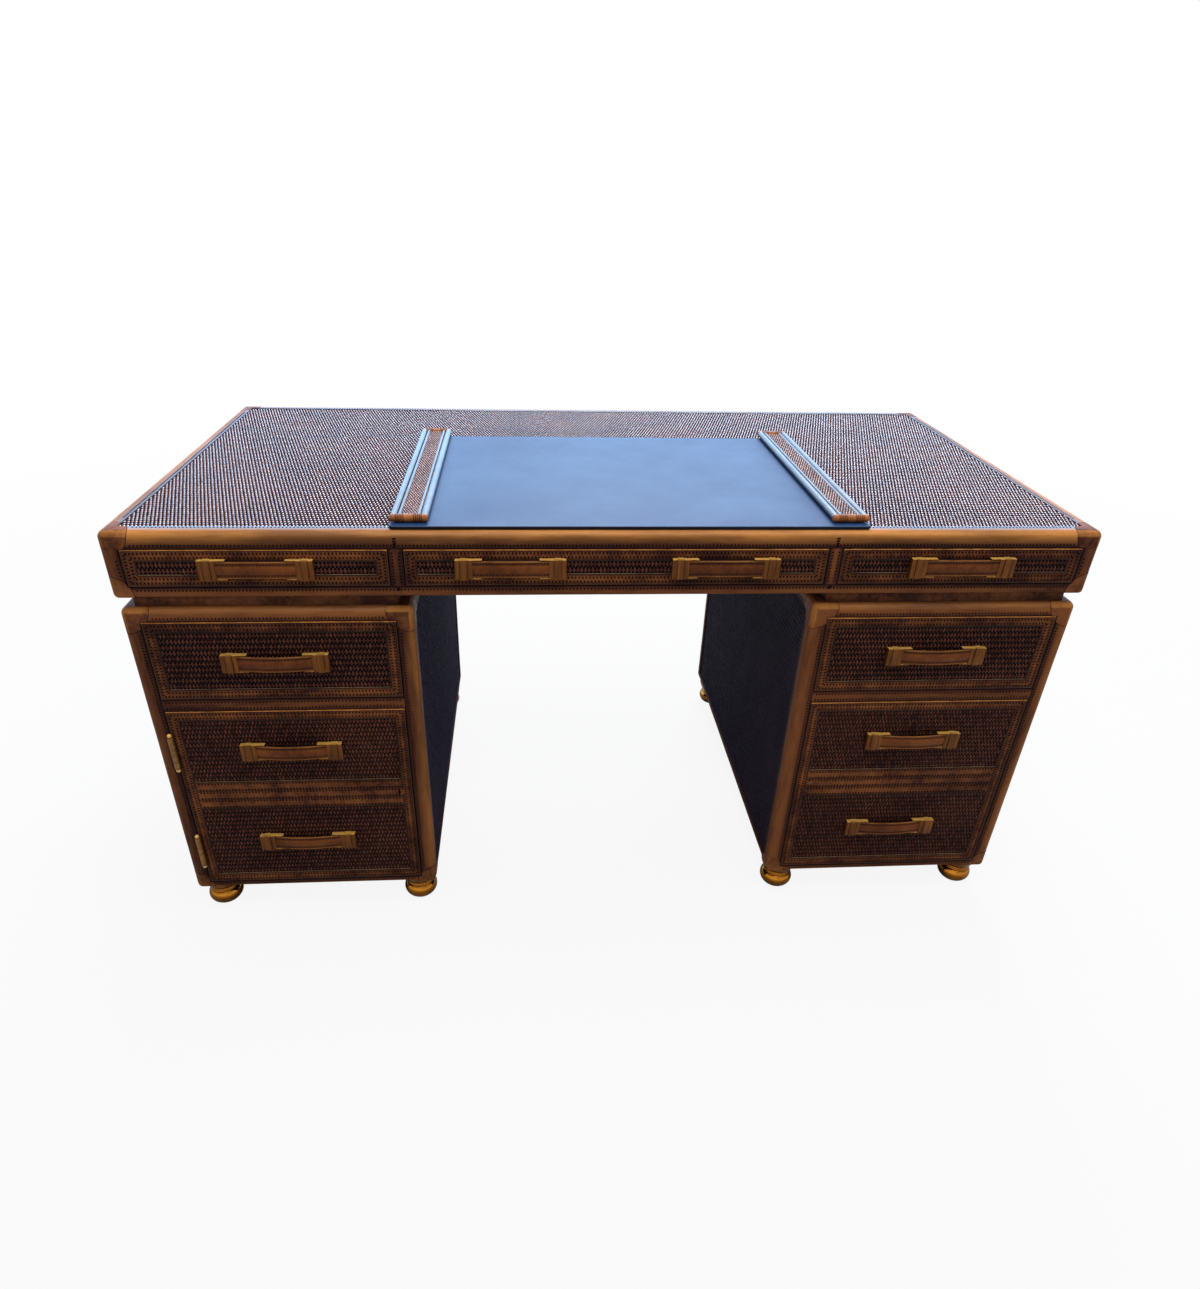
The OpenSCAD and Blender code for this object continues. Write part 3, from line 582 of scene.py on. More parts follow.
def leatherBar(low, high, unit, stitchFaces=(), endGap=stitchSet["fromEnd"], darker=0.0,
               stainWidth=barSet["stainWidth"]):
    s = barSet
    bm = newBox(low, high)
    size = high - low
    along = longestAxis(size)
    across = [axis for axis in range(3) if axis != along]
    top = unit[1].z - s["topWithin"]
    outer, longEdges = [], []
    for edge in bm.edges:
        first, second = [vert.co.copy() for vert in edge.verts]
        isOuter = onOutside(first, second, unit)
        if isOuter:
            outer.append(edge)
        if not near(first[along], second[along], tiny):
            kind = "upright" if along == 2 else "bottom"
            if first.z > top:
                kind = "desk" if unit is topUnit else "pedestal"
            longEdges.append((first, isOuter, kind))
    roundOutside(bm, outer, unit, 6)
    softenEdges(bm, s["softEdge"])
    cutEvenly(bm, along, low, high, int(size[along] / s["cutEvery"]))
    for axis in across:
        if size[axis] > s["thinnest"]:
            cutAcross(bm, axis, [low[axis] + s["edgeCut"], (low[axis] + high[axis]) / 2,
                                 high[axis] - s["edgeCut"]])
    stain, wearAndHighlight, polish = leatherMarks(bm, darker, along)
    for vert in bm.verts:
        for corner, isOuter, kind in longEdges:
            far = max(abs(vert.co[axis] - corner[axis]) for axis in across)
            # Outer edges: wear and a painted highlight
            if isOuter:
                vert[wearAndHighlight] = max(vert[wearAndHighlight], s["edgeWearAndHighlight"][kind] * (1 - far / s["wearAndHighlightWidth"][kind]))
            else:
                vert[stain] = max(vert[stain], 1 - far / stainWidth)
                if vert.normal.z > 0.7 and corner.z > top:
                    vert[polish] = max(vert[polish], min(1.0, 1.3 - far / s["waxWidth"][along]))
        if along == 0 and high.z > top:
            best, spread = s["roundingFace"]
            shine = s["roundingWax"] * max(0.0, 1 - abs(vert.normal.z - best) / spread)
            vert[polish] = max(vert[polish], shine)
        vert.co -= vert.normal * s["sag"] * (1 + noise.noise(vert.co * s["sagScale"]))
    for out in stitchFaces:
        stitchBar(low, high, longEdges, along, out, unit, endGap)
    return toMesh(bm, "bar")


def stitchBar(low, high, longEdges, along, out, unit, endGap):
    # Stitches beside the long edges of one outer face, apart from the rounded ones
    axis = longestAxis(out)
    side = int(out[axis] > 0)
    face = (low, high)[side][axis]
    if axis == along or not near(face, unit[side][axis]):
        return
    inward = 3 - along - axis
    for corner, isOuter, _ in longEdges:
        if isOuter or abs(corner[axis] - face) > 1e-5:
            continue
        start = Vector(corner)
        toMiddle = (low[inward] + high[inward]) / 2 - corner[inward]
        start[inward] += math.copysign(stitchSet["fromEdge"], toMiddle)
        start[axis] = face - math.copysign(barSet["sag"] * 1.3, out[axis])
        end = start.copy()
        start[along], end[along] = low[along] + endGap, high[along] - endGap
        step = (end - start).normalized() * stitchSet["search"]
        for moved, change in ((start, step), (end, -step)):
            while any((moved - place).length < radius + stitchSet["fromCap"]
                      for place, radius in cornersOf(unit)):
                moved += change
        if (end - start).dot(step) > 0:
            stitchRow("carcass", start, end, out)


def dressBars(node, unitOf, stitchFaces, **more):
    more["darker"] = barSet["darker"].get(node, 0.0)
    bars = [leatherBar(low, high, unitOf(low), stitchFaces, **more) for low, high in solidBoxes(node)]
    addPiece(gathered(bars), node + "_leather", "carcass", [stitchedLeather], [node])


topBars = solidBoxes("top_mouldings") + solidBoxes("top_frame")
topUnit = around([corner for box in topBars for corner in box])
postBoxes = solidBoxes("pedestal_posts")
pedestals = [around([corner for box in postBoxes if box[0].x * side > 0 for corner in box])
             for side in (-1, 1)]
postWidth = postBoxes[0][1].x - postBoxes[0][0].x


def pedestalOf(low):
    return pedestals[0] if low.x < 0 else pedestals[1]


dressBars("top_mouldings", lambda low: topUnit, (*upright, up), endGap=postWidth + stitchSet["pastPost"])
dressBars("top_frame", lambda low: topUnit, upright)
dressBars("pedestal_posts", pedestalOf, upright)
dressBars("pedestal_front_rails", pedestalOf, (forward,), stainWidth=barSet["narrowStain"])
dressBars("pedestal_edge_rails", pedestalOf, (left, right, back))
print("leather frame made")


# Plinths and dividers

dividerSet = {
    "gaps": (0.002, 0.009, 0.009, 0.001),   # at the ends of the two rows of stitches down the front
    "topRow": (0.01, 0.023),                # where the row on the top starts and ends
}


def makePlinths():
    bars = [leatherBar(low, high, (low - high, high - low)) for low, high in solidBoxes("plinths")]
    addPiece(gathered(bars), "plinths_leather", "carcass", [stitchedLeather], ["plinths"])


def makeDividers():
    # A leather strap covers the front end of each wooden divider
    moulding = min(low.z for low, high in solidBoxes("top_mouldings"))
    rail = min(high.z for low, high in solidBoxes("top_frame"))
    gaps, (rowStart, rowEnd) = dividerSet["gaps"], dividerSet["topRow"]
    bottom, top = topUnit[0].z, topUnit[1].z
    straps, boards = [], []
    for low, high in solidBoxes("drawer_dividers"):
        behind = low.y + postWidth
        straps.append(leatherBar(Vector((low.x, low.y, rail)), Vector((high.x, behind, moulding)), topUnit,
                                 (forward,)))
        boards.append(plainBar((low.x, behind, low.z), high))
        x, y = (low.x + high.x) / 2, low.y
        for first, last, out in (((x, y, moulding + gaps[0]), (x, y, top - gaps[1]), forward),
                                 ((x, y, bottom + gaps[2]), (x, y, rail - gaps[3]), forward),
                                 ((x, y + rowStart, top), (x, y + rowEnd, top), up)):
            stitchRow("carcass", first, last, out, "divider")
    addPiece(gathered(straps), "divider_straps", "carcass", [stitchedLeather],
             ["drawer_dividers"])
    addPiece(gathered(boards), "divider_boards", "carcass", [boardWood])


makePlinths()
makeDividers()
print("plinths and dividers made")


# Woven rattan

weaveSet = {
    "keys": ("pitch", "row", "length", "width", "height", "weft", "sides"),
    "top": (0.00565, 0.0086, 0.0082, 0.0036, 0.0014, 0.0016, 6),
    "front": (0.0059, 0.0094, 0.0106, 0.0030, 0.0012, 0.0017, 8),
    "side": (0.0059, 0.0094, 0.0106, 0.0032, 0.0012, 0.0018, 6),
    "rail": (0.0048, 0.0056, 0.0060, 0.0029, 0.0009, 0.0014, 8),
    "weftHeight": 0.0004,
    "heights": (0.7, 1.1),  # share of the full height that a strand gets
    "lean": 0.05,           # spread of the strands' leaning and of their places
    "shift": 0.00012,
    "fieldParts": 4,
    "backingRound": 0.0003,
}


def repeated(mesh, repeats):
    source = placed("repeatSource", mesh)
    for count, step in repeats:
        array = source.modifiers.new("Repeat", "ARRAY")
        array.count = count
        array.use_relative_offset = False
        array.use_constant_offset = True
        array.constant_offset_displace = step
    made = evaluated(source)
    bpy.data.objects.remove(source)
    bpy.data.meshes.remove(mesh)
    return made


def strandBump(s, place):
    # Where a strand passes over a weft it shows as a long low dome
    bm = bmesh.new()
    bmesh.ops.create_uvsphere(bm, u_segments=s["sides"], v_segments=4, radius=0.5)
    bmesh.ops.delete(bm, geom=[vert for vert in bm.verts if vert.co.z < -0.01], context="VERTS")
    bmesh.ops.holes_fill(bm, edges=bm.edges[:])
    bmesh.ops.scale(bm, vec=(s["width"], s["length"], s["height"] * 2), verts=bm.verts)
    bmesh.ops.translate(bm, vec=place, verts=bm.verts)
    return toMesh(bm, "bump")


def weavePattern(kind, wide, high, seed):
    # The strands and wefts of one panel, flat, from its lower left corner
    s = dict(zip(weaveSet["keys"], weaveSet[kind]))
    columns, pairs = round(wide / s["pitch"]), max(1, round(high / s["row"] / 2))
    pitch, row = wide / columns, high / pairs / 2
    # Two bumps make the pattern, each a quarter of it in from its corner
    bm = gathered([strandBump(s, (pitch * (k + 0.5) / 2, row * (k + 0.5), 0)) for k in (0, 1)])
    perBump = len(bm.verts) // 2
    strands = repeated(toMesh(bm, "pair"), [(columns, (pitch, 0, 0)), (pairs, (0, row * 2, 0))])
    points = np.empty(len(strands.vertices) * 3, np.float32)
    strands.vertices.foreach_get("co", points)
    points = points.reshape(-1, perBump, 3)
    chance = np.random.default_rng(seed)
    middle = points.mean(axis=1, keepdims=True)
    shape = (len(points), 1)
    points[..., 2] *= chance.uniform(*weaveSet["heights"], shape)
    points[..., 0] += (points[..., 1] - middle[..., 1]) * chance.normal(0, weaveSet["lean"], shape)
    points[..., :2] += chance.normal(0, weaveSet["shift"], (len(points), 1, 2))
    strands.vertices.foreach_set("co", points.ravel())
    shades = np.repeat(chance.uniform(0, 1, len(points)), perBump).astype(np.float32)
    strands.attributes.new("shade", "FLOAT", "POINT").data.foreach_set("value", shades)
    strands.shade_smooth()
    weft = newBox(Vector((0, row * 0.5 - s["weft"] / 2, -weaveSet["weftHeight"])),
                  Vector((wide, row * 0.5 + s["weft"] / 2, weaveSet["weftHeight"])))
    return strands, repeated(toMesh(weft, "weft"), [(pairs * 2, (0, row, 0))])


def wovenPanel(name, body, low, high, out, kind, material, stands=(), sink=0.0, margin=0.0, seed=1,
               backing=True):
    # Strands and wefts on the face of the box that looks along out; the box itself backs them
    sideways = up.cross(out) if abs(out.z) < 0.5 else right
    upwards = out.cross(sideways)
    axis = longestAxis(out)
    corner = Vector([(low if (sideways + upwards)[part] >= 0 else high)[part] for part in range(3)])
    corner[axis] = high[axis] - sink if out[axis] > 0 else low[axis] + sink
    wide, tall = [abs((high - low).dot(way)) - 2 * margin for way in (sideways, upwards)]
    flat = weavePattern(kind, wide, tall, seed)
    for mesh in flat:
        mesh.transform(onFace(corner + (sideways + upwards) * margin, sideways, out))
    addPiece(flat[0], name, body, [material], stands)
    addPiece(flat[1], name + "_wefts", body, [weftStrands])
    if backing:
        ground = [Vector(low), Vector(high)]
        ground[int(out[axis] > 0)][axis] = corner[axis]
        bm = newBox(*ground)
        softenEdges(bm, weaveSet["backingRound"], 1)
        bm.normal_update()
        for face in bm.faces:
            # The face behind the strands takes the near-black ground, the painted shade between them
            face.material_index = 0 if face.normal.dot(out) > 0.9 else 1
        addPiece(bm, name + "_backing", body, [shadedWovenGround, panelWood])


def makeTopField():
    low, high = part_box("woven_top")
    wide = (high.x - low.x) / weaveSet["fieldParts"]
    for part in range(weaveSet["fieldParts"]):
        partLow = Vector((low.x + wide * part, low.y, low.z))
        partHigh = Vector((low.x + wide * (part + 1), high.y, high.z))
        wovenPanel("top_field_strands_" + str(part + 1), "carcass", partLow, partHigh, up, "top",
                   topStrandsPaintedSheen, seed=10 + part, backing=False)
    # The top field's own board takes the dark ground, painted shade between the strands
    finishNode("woven_top", topGround)


def makeSidePanels():
    for node, name, seed in (("pedestal_side_panels", "pedestal_side_weave", 20),
                             ("pedestal_back_panels", "pedestal_back_weave", 30),
                             ("top_side_panels", "top_side_weave", 40),
                             ("top_back_panel", "top_back_weave", 50)):
        panels = solidBoxes(node)
        for number, (low, high) in enumerate(panels):
            unit = topUnit if node.startswith("top") else pedestalOf(low)
            out = left if low.x - unit[0].x < unit[1].x - high.x else right
            if "back" in node:
                out = back
            # Panels facing the kneehole take the navy copy with painted shade and reflection, the others the
            # side copy with painted shade
            strands = shadedKneeholeStrands if out.x * low.x < 0 else shadedSideStrands
            wovenPanel(numbered(name, number, panels), "carcass", low, high, out, "side", strands, [node],
                       seed=seed + number)


makeTopField()
makeSidePanels()
print("woven panels made")


# Drawer fronts and the door: stitched leather strips round woven inlays

frontSet = {
    "coreBehind": 0.0024,   # the flat core lies this far behind the strips' faces
    "crown": 0.0007,        # height of each strip's raised middle
    "crownEdge": 0.0009,
    "crownSteps": (0.8, 0.2),            # shares of the crown that its two steps rise
    "crownStain": ((0.5, 1.0), (0.9, 0.55)),   # stain of what has risen less than each share
    "stainEdge": 0.0036,    # width of the stained edge on each strip
    "stitchIn": 0.0034,     # from a strip's outer edge to its row
    "inlayStitchIn": 0.0046,   # from an inlay to its row
    "stitchLift": 0.0001,
    "bandEnd": 0.004,       # where the rows across the band end
    "rim": 0.0022,          # rolled rim round the outside
    "bead": 0.0020,         # and round each inlay
    "beadLift": 0.0003,
    "beadRound": 0.45,      # as shares of the bead's width: its rounding, the cuts beside it, and how far its painted highlight reaches
    "beadCut": 1.5,
    "beadHighlight": 1.2,        # and how far it is worn
    "highlightFace": 0.25,       # only where its normal's z is more than this
    "inlaySink": 0.0013,    # of the inlay's ground behind the front
    "bandStrips": 3,        # in the band between two inlays
    "cornerReach": 0.05,    # of the dark stain round each corner
    "cornerCuts": (0.35, 0.7, 1.0),      # where it changes, as shares of its reach
    "cornerStain": {"shallow": 0.8, "other": 0.4},
}


def kindOf(name):
    return "shallow" if "shallow" in name else "other"


def rectangle(bm, x0, x1, z0, z1, y):
    corners = [bm.verts.new(place) for place in ((x0, y, z0), (x1, y, z0), (x1, y, z1), (x0, y, z1))]
    return [bm.edges.new((corners[k], corners[(k + 1) % 4])) for k in range(4)]


def ringFaces(bm, outer, inner, y):
    bmesh.ops.bridge_loops(bm, edges=rectangle(bm, *outer, y) + rectangle(bm, *inner, y))


def thicken(bm, thickness):
    # Gives flat faces that look forward a thickness
    bm.normal_update()
    bmesh.ops.reverse_faces(bm, faces=[face for face in bm.faces if face.normal.y > 0])
    bmesh.ops.solidify(bm, geom=bm.faces[:], thickness=thickness)
    bmesh.ops.recalc_face_normals(bm, faces=bm.faces)


def raisedStrips(bm, y, low, high, darkest):
    # Gives the flat strips at y a sunk edge, a raised middle and stained corners
    s = frontSet
    thicken(bm, s["coreBehind"])
    fronts = [face for face in bm.faces if face.normal.y < -0.9]
    nearest = min(face.calc_center_median().y for face in fronts)
    for wide, share in zip((s["crownEdge"], s["stainEdge"]), s["crownSteps"]):
        bmesh.ops.inset_region(bm, faces=fronts, thickness=wide, depth=s["crown"] * share,
                               use_boundary=True, use_even_offset=True)
    stain = leatherMarks(bm)[0]
    for vert in bm.verts:
        raised = (nearest - vert.co.y) / s["crown"]
        vert[stain] = next((level for share, level in s["crownStain"] if raised < share), 0.0)
    bmesh.ops.translate(bm, vec=(0, y + s["crown"] - nearest, 0), verts=bm.verts)
    reach = s["cornerReach"]
    for axis in (0, 2):
        steps = [reach * share for share in s["cornerCuts"] if reach * share < (high - low)[axis] / 2]
        cutAcross(bm, axis, [low[axis] + step for step in steps] + [high[axis] - step for step in steps])
    stain = bm.verts.layers.float["edgeStain"]
    for vert in bm.verts:
        x, z = [min(vert.co[axis] - low[axis], high[axis] - vert.co[axis]) for axis in (0, 2)]
        vert[stain] = max(vert[stain], darkest * (1 - math.hypot(x, z) / reach))


def dressFront(name, body, node):
    s = frontSet
    weaveNode = nodeOf(name, "_weave")
    low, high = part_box(node)
    pockets = sorted(solidBoxes(weaveNode), key=lambda box: box[0].z)
    inner = (pockets[0][0].x, pockets[0][1].x, pockets[0][0].z, pockets[-1][1].z)
    rim, y = s["rim"], low.y
    outer = (low.x + rim, high.x - rim, low.z + rim, high.z - rim)
    bm = bmesh.new()
    ringFaces(bm, outer, inner, y)

    def row(x0, z0, x1, z1):
        stitchRow(body, (x0, y - s["stitchLift"], z0), (x1, y - s["stitchLift"], z1), forward)

    for (x0, x1, z0, z1), step in ((outer, s["stitchIn"]), (inner, -s["inlayStitchIn"])):
        x0, x1, z0, z1 = x0 + step, x1 - step, z0 + step, z1 - step
        for ends in ((x0, z0, x1, z0), (x0, z1, x1, z1), (x0, z0, x0, z1), (x1, z0, x1, z1)):
            row(*ends)
    if len(pockets) == 2:
        tall = (pockets[1][0].z - pockets[0][1].z) / s["bandStrips"]
        for strip in range(s["bandStrips"]):
            z0 = pockets[0][1].z + tall * strip
            bmesh.ops.contextual_create(bm, geom=rectangle(bm, inner[0], inner[1], z0, z0 + tall, y))
            for z in (z0 + s["stitchIn"], z0 + tall - s["stitchIn"]):
                row(inner[0] + s["bandEnd"], z, inner[1] - s["bandEnd"], z)
    raisedStrips(bm, y, low, high, s["cornerStain"][kindOf(name)])
    core = newBox(Vector((low.x, y + s["coreBehind"], low.z)), high)
    whole = gathered([toMesh(bm, "strips"), toMesh(core, "core")])
    addPiece(whole, node + "_leather", body, [stitchedLeather], [node])
    beads = []
    for number, (pocketLow, pocketHigh) in enumerate(pockets):
        wovenPanel(numbered(weaveNode + "_strands", number, pockets), body, pocketLow, pocketHigh, forward,
                   "front", frontStrands, [weaveNode], s["inlaySink"], s["bead"], 60 + number)
        beads.append(beadRing(pocketLow, pocketHigh, s["bead"], y - s["beadLift"], pocketLow.z))
    addPiece(gathered(beads), node + "_beads", body, [beadLeather])
    addPiece(gathered([beadRing(low, high, rim, y, high.z)]), node + "_rim", body, [rimLeather])


def beadRing(low, high, wide, y, highlightAt):
    # A thin roll just inside the edge of a rectangle, its foremost line at y, with a painted highlight on
    # its upward faces along one long side
    s = frontSet
    bm = bmesh.new()
    ringFaces(bm, *[(low.x + step, high.x - step, low.z + step, high.z - step) for step in (0, wide)], y)
    thicken(bm, wide)
    nearest = min(vert.co.y for vert in bm.verts)
    roundEdges(bm, [edge for edge in bm.edges if edge.calc_face_angle(0.0) > 1
                    and all(vert.co.y < nearest + 1e-5 for vert in edge.verts)], wide * s["beadRound"], 3)
    bmesh.ops.translate(bm, vec=(0, y - nearest, 0), verts=bm.verts)
    cutAcross(bm, 2, [low.z + wide * s["beadCut"], high.z - wide * s["beadCut"]])
    wearAndHighlight = leatherMarks(bm)[1]
    for vert in bm.verts:
        # The painted highlight: upward faces along one long side
        vert[wearAndHighlight] = float(near(vert.co.z, highlightAt, wide * s["beadHighlight"])
                             and vert.normal.z > s["highlightFace"])
    return toMesh(bm, "bead")


fronts = [(name, name + "_drawer", name + "_front") for name in
          ("left_shallow", "wide_shallow", "right_shallow", "left_upper", "right_upper")]
fronts += [("deep_drawer", "deep_drawer", "deep_drawer_front"), ("door", "door", "door_panel")]
for frontName, frontBody, frontNode in fronts:
    dressFront(frontName, frontBody, frontNode)
print("drawer fronts and door made")


# Handles: a stitched strap between two brass brackets of three plates each

handleSet = {
    "lip": 0.015,            # how far the upper and lower plates reach past the front plates
    "endPlates": 0.0008,     # outer and inner plates lie this far behind the middle one
    "endTrim": 0.0005,       # and are this much shorter at each end
    "plates": ((0.0, 0.0070), (0.0078, 0.0182), (0.0190, 0.0260)),
    "groove": 0.0022,        # depth of the grooves between them
    "plateThick": 0.0019,    # of the upper and lower plates
    "plateIn": 0.0004,       # from the bracket's edges
    "backIn": 0.0003,        # of the plate behind the front ones, at each end
    "midPlate": 0.0006,      # the middle plate's body lies this far behind its face
    "lipDepth": 0.0090,
    "lipIn": 0.0002,         # of the upper and lower plates' outer ends
    "overlap": 0.001,        # of the front plates into the one behind
    "plateRound": 0.0005,
    "bow": {"shallow": 0.0006, "other": 0.0044},
    "bowReach": 0.74,        # share of the strap's half length that bows out
    "droop": 0.12,           # of the bow
    "cuts": 26,
    "strapThick": 0.0028,
    "strapRound": 0.0011,
    "rimWidth": 0.0020,      # folded rim along the strap's long edges
    "stitchBand": 0.0050,    # sunk stitched band beside the rim
    "bandDepth": 0.0006,
    "bandStain": 0.5,
    "rimWear": 0.6,
    "creases": (0.0004, 0.0005),   # half widths of the steps at the rim and past the band
    "runs": 6,               # straight runs of stitches along the bow
}


def makeBracket(low, high, outerSide):
    # low and high bound one bracket with its lips; outerSide is -1 on the strap's left end
    s = handleSet
    outer = low.x if outerSide < 0 else high.x
    length, y, edge = high.x - low.x, low.y, s["plateIn"]
    parts = []

    def plate(first, last, y0, y1, z0, z1):
        x0, x1 = sorted((outer - outerSide * first, outer - outerSide * last))
        parts.append(plainBar((x0, y0, z0), (x1, y1, z1), s["plateRound"]))

    plate(s["backIn"], length - s["lip"] - s["backIn"], y + s["groove"], high.y, low.z + edge * 2,
          high.z - edge * 2)
    for number, (first, last) in enumerate(s["plates"]):
        step, trim = (0.0, 0.0) if number == 1 else (s["endPlates"], s["endTrim"])
        plate(first, last, y + step, y + s["groove"] + s["overlap"], low.z + trim, high.z - trim)
    for z in (low.z + edge, high.z - edge - s["plateThick"]):
        plate(s["lipIn"], length, y + s["endPlates"] + edge, y + s["lipDepth"], z, z + s["plateThick"])
    plate(*s["plates"][1], y + s["midPlate"], high.y, low.z, high.z)
    return parts


def bowAt(along, bow):
    return bow * max(0.0, 1 - (along / handleSet["bowReach"]) ** 2)


def makeStrap(low, high, bow):
    s = handleSet
    y, middle, half = low.y, (low + high) / 2, (high - low) / 2
    bm = newBox(low, Vector((high.x, y + s["strapThick"], high.z)))
    softenEdges(bm, s["strapRound"], 3)
    cutEvenly(bm, 0, low, high, s["cuts"])
    rim, band = s["rimWidth"], s["rimWidth"] + s["stitchBand"]
    cutAcross(bm, 2, [middle.z + side * (half.z - place + step) for side in (-1, 1)
                      for place, crease in zip((rim, band), s["creases"]) for step in (crease, -crease)])
    stain, wearAndHighlight, _ = leatherMarks(bm)
    for vert in bm.verts:
        fromEdge = half.z - abs(vert.co.z - middle.z)
        if rim < fromEdge < band and vert.co.y < y + s["strapThick"] / 2:
            vert.co.y += s["bandDepth"]
            vert[stain] = s["bandStain"]
        vert[wearAndHighlight] = s["rimWear"] if fromEdge <= rim else 0.0
        out = bowAt((vert.co.x - middle.x) / half.x, bow)
        vert.co.y -= out
        vert.co.z -= out * s["droop"]
    return toMesh(bm, "strap")


def strapStitches(body, low, high, bow):
    # Two rows that follow the bow of the strap in short straight runs
    s = handleSet
    middle, half = (low + high) / 2, (high - low) / 2
    for side in (-1, 1):
        z = middle.z + side * (half.z - s["rimWidth"] - s["stitchBand"] / 2)
        ends = []
        for k in range(s["runs"] + 1):
            along = (2 * k / s["runs"] - 1) * s["bowReach"]
            out = bowAt(along, bow)
            ends.append((middle.x + half.x * along, low.y + s["bandDepth"] - out, z - out * s["droop"]))
        for start, end in zip(ends, ends[1:]):
            stitchRow(body, start, end, forward, "strap")


def makeHandles(name, body):
    brackets = sorted(solidBoxes(name + "_brackets"), key=lambda box: (round(box[0].z, 3), box[0].x))
    strapNode = nodeOf(name, "_strap")
    bm = gathered([plate for place, (low, high) in enumerate(brackets)
                   for plate in makeBracket(low, high, -1 if place % 2 == 0 else 1)])
    bm.normal_update()
    for face in bm.faces:
        # Upward faces take the brighter brass: polish and a painted highlight
        face.material_index = 1 if face.normal.z > 0.9 and face.calc_area() > tiny else 0
    addPiece(bm, name + "_bracket_plates", body, [agedBrass, rubbedAndHighlitBrass], [name + "_brackets"])
    bow, straps = handleSet["bow"][kindOf(name)], []
    for low, high in solidBoxes(strapNode):
        straps.append(makeStrap(low, high, bow))
        strapStitches(body, low, high, bow)
    addPiece(gathered(straps), strapNode + "_leather", body, [strapLeather], [strapNode])


for frontName, frontBody, _ in fronts:
    makeHandles(frontName, frontBody)
print("handles made")


# Bun feet

footSet = {
    # half outline from the floor up, radius and height in millimetres
    "ball": (31.0, 22.0, 18.0),       # radius across, half height, radius of the flat underneath
    "shoulder": 38,                   # degrees above the ball's middle
    "beads": ((23.6, 33.9), (24.9, 38.8)),
    "beadRadius": 2.4,
    "beadArc": 80,
    "arcSteps": (14, 6),              # of the ball and of a bead
    "collar": ((26.4, 41.4), (28.6, 44.6), (31.0, 49.6), (32.4, 54.8), (33.0, 58.6), (33.0, 60.0)),
    "turns": 40,
    # how dark the brass is up to each height: patina in the grooves, age on the collar, a painted dark
    # reflection on the ball's lower half and painted highlight bands on its shoulder and bead tops
    "patinaAndPaintedReflection": ((3, 1.0), (9, 0.95), (16, 0.85), (21, 0.6), (25, 0.25), (29, 0.0), (31, 0.5), (32.5, 1.0),
               (35.5, 0.25), (37.2, 1.0), (40.5, 0.25), (42, 0.9), (99, 0.75)),
}


def arc(across, height, radius, halfHigh, start, end, steps):
    angles = [start + (end - start) * k / steps for k in range(steps + 1)]
    return [(across + radius * math.cos(angle), height + halfHigh * math.sin(angle)) for angle in angles]


def makeFeet():
    s = footSet
    radius, halfHigh, flat = s["ball"]
    lowest, beadArc = -math.acos(flat / radius), math.radians(s["beadArc"])
    outline = [(0.0, 0.0), (flat - 1.0, 0.0)]
    outline += arc(0.0, -halfHigh * math.sin(lowest), radius, halfHigh, lowest,
                   math.radians(s["shoulder"]), s["arcSteps"][0])
    for across, height in s["beads"]:
        outline += arc(across, height, s["beadRadius"], s["beadRadius"], -beadArc, beadArc,
                       s["arcSteps"][1])
    outline += [*s["collar"], (0.0, s["collar"][-1][1])]
    bm = bmesh.new()
    for low, high in solidBoxes("bun_feet"):
        middle = Vector(((low.x + high.x) / 2, (low.y + high.y) / 2, low.z))
        verts = [bm.verts.new(middle + Vector((r / 1000, 0, z / 1000))) for r, z in outline]
        edges = [bm.edges.new(pair) for pair in zip(verts, verts[1:])]
        bmesh.ops.spin(bm, geom=verts + edges, cent=middle, axis=(0, 0, 1), angle=math.tau,
                       steps=s["turns"], use_merge=True)
    bmesh.ops.remove_doubles(bm, verts=bm.verts, dist=tiny)
    bmesh.ops.recalc_face_normals(bm, faces=bm.faces)
    ageAndPaintedReflection = bm.verts.layers.float.new("ageAndPaintedReflection")
    for vert in bm.verts:
        vert[ageAndPaintedReflection] = next(level for height, level in s["patinaAndPaintedReflection"] if vert.co.z * 1000 <= height)
    addPiece(bm, "turned_feet", "carcass", [polishedBrass], ["bun_feet"])


makeFeet()
print("feet made")


# Desk pad with its two rails

padSet = {
    "corner": 0.008,
    "edgeRound": 0.0014,
    "cell": 0.03,
    "wave": 0.00012,
    "waveScale": 18,
    "endPole": 0.0060,      # radius of each kind
    "thickPole": 0.0054,
    "thinPole": 0.0025,
    "sides": {"endPole": 18, "thickPole": 18, "thinPole": 10},
    "poleGap": 0.0008,
    "poleRound": 0.45,      # of its radius
    "poleStain": (40, 0.5),   # scale and strength
    "poleWear": (35, 0.2, 0.3),   # scale, usual value and how much more or less
    "thickIn": 0.0004,      # from the rail's side and top
    "thinDown": 0.0016,
    "endIn": 0.0008,
    "wrapRadius": 0.0064,
    "wrapThick": 0.0013,
    "wrapSides": (8, 16),   # round its section and round the pole
    "wrapStain": 0.35,
    "wraps": (0.0100, 0.0128, 0.0156, 0.0184, 0.0212),   # from each corner along the end poles
}


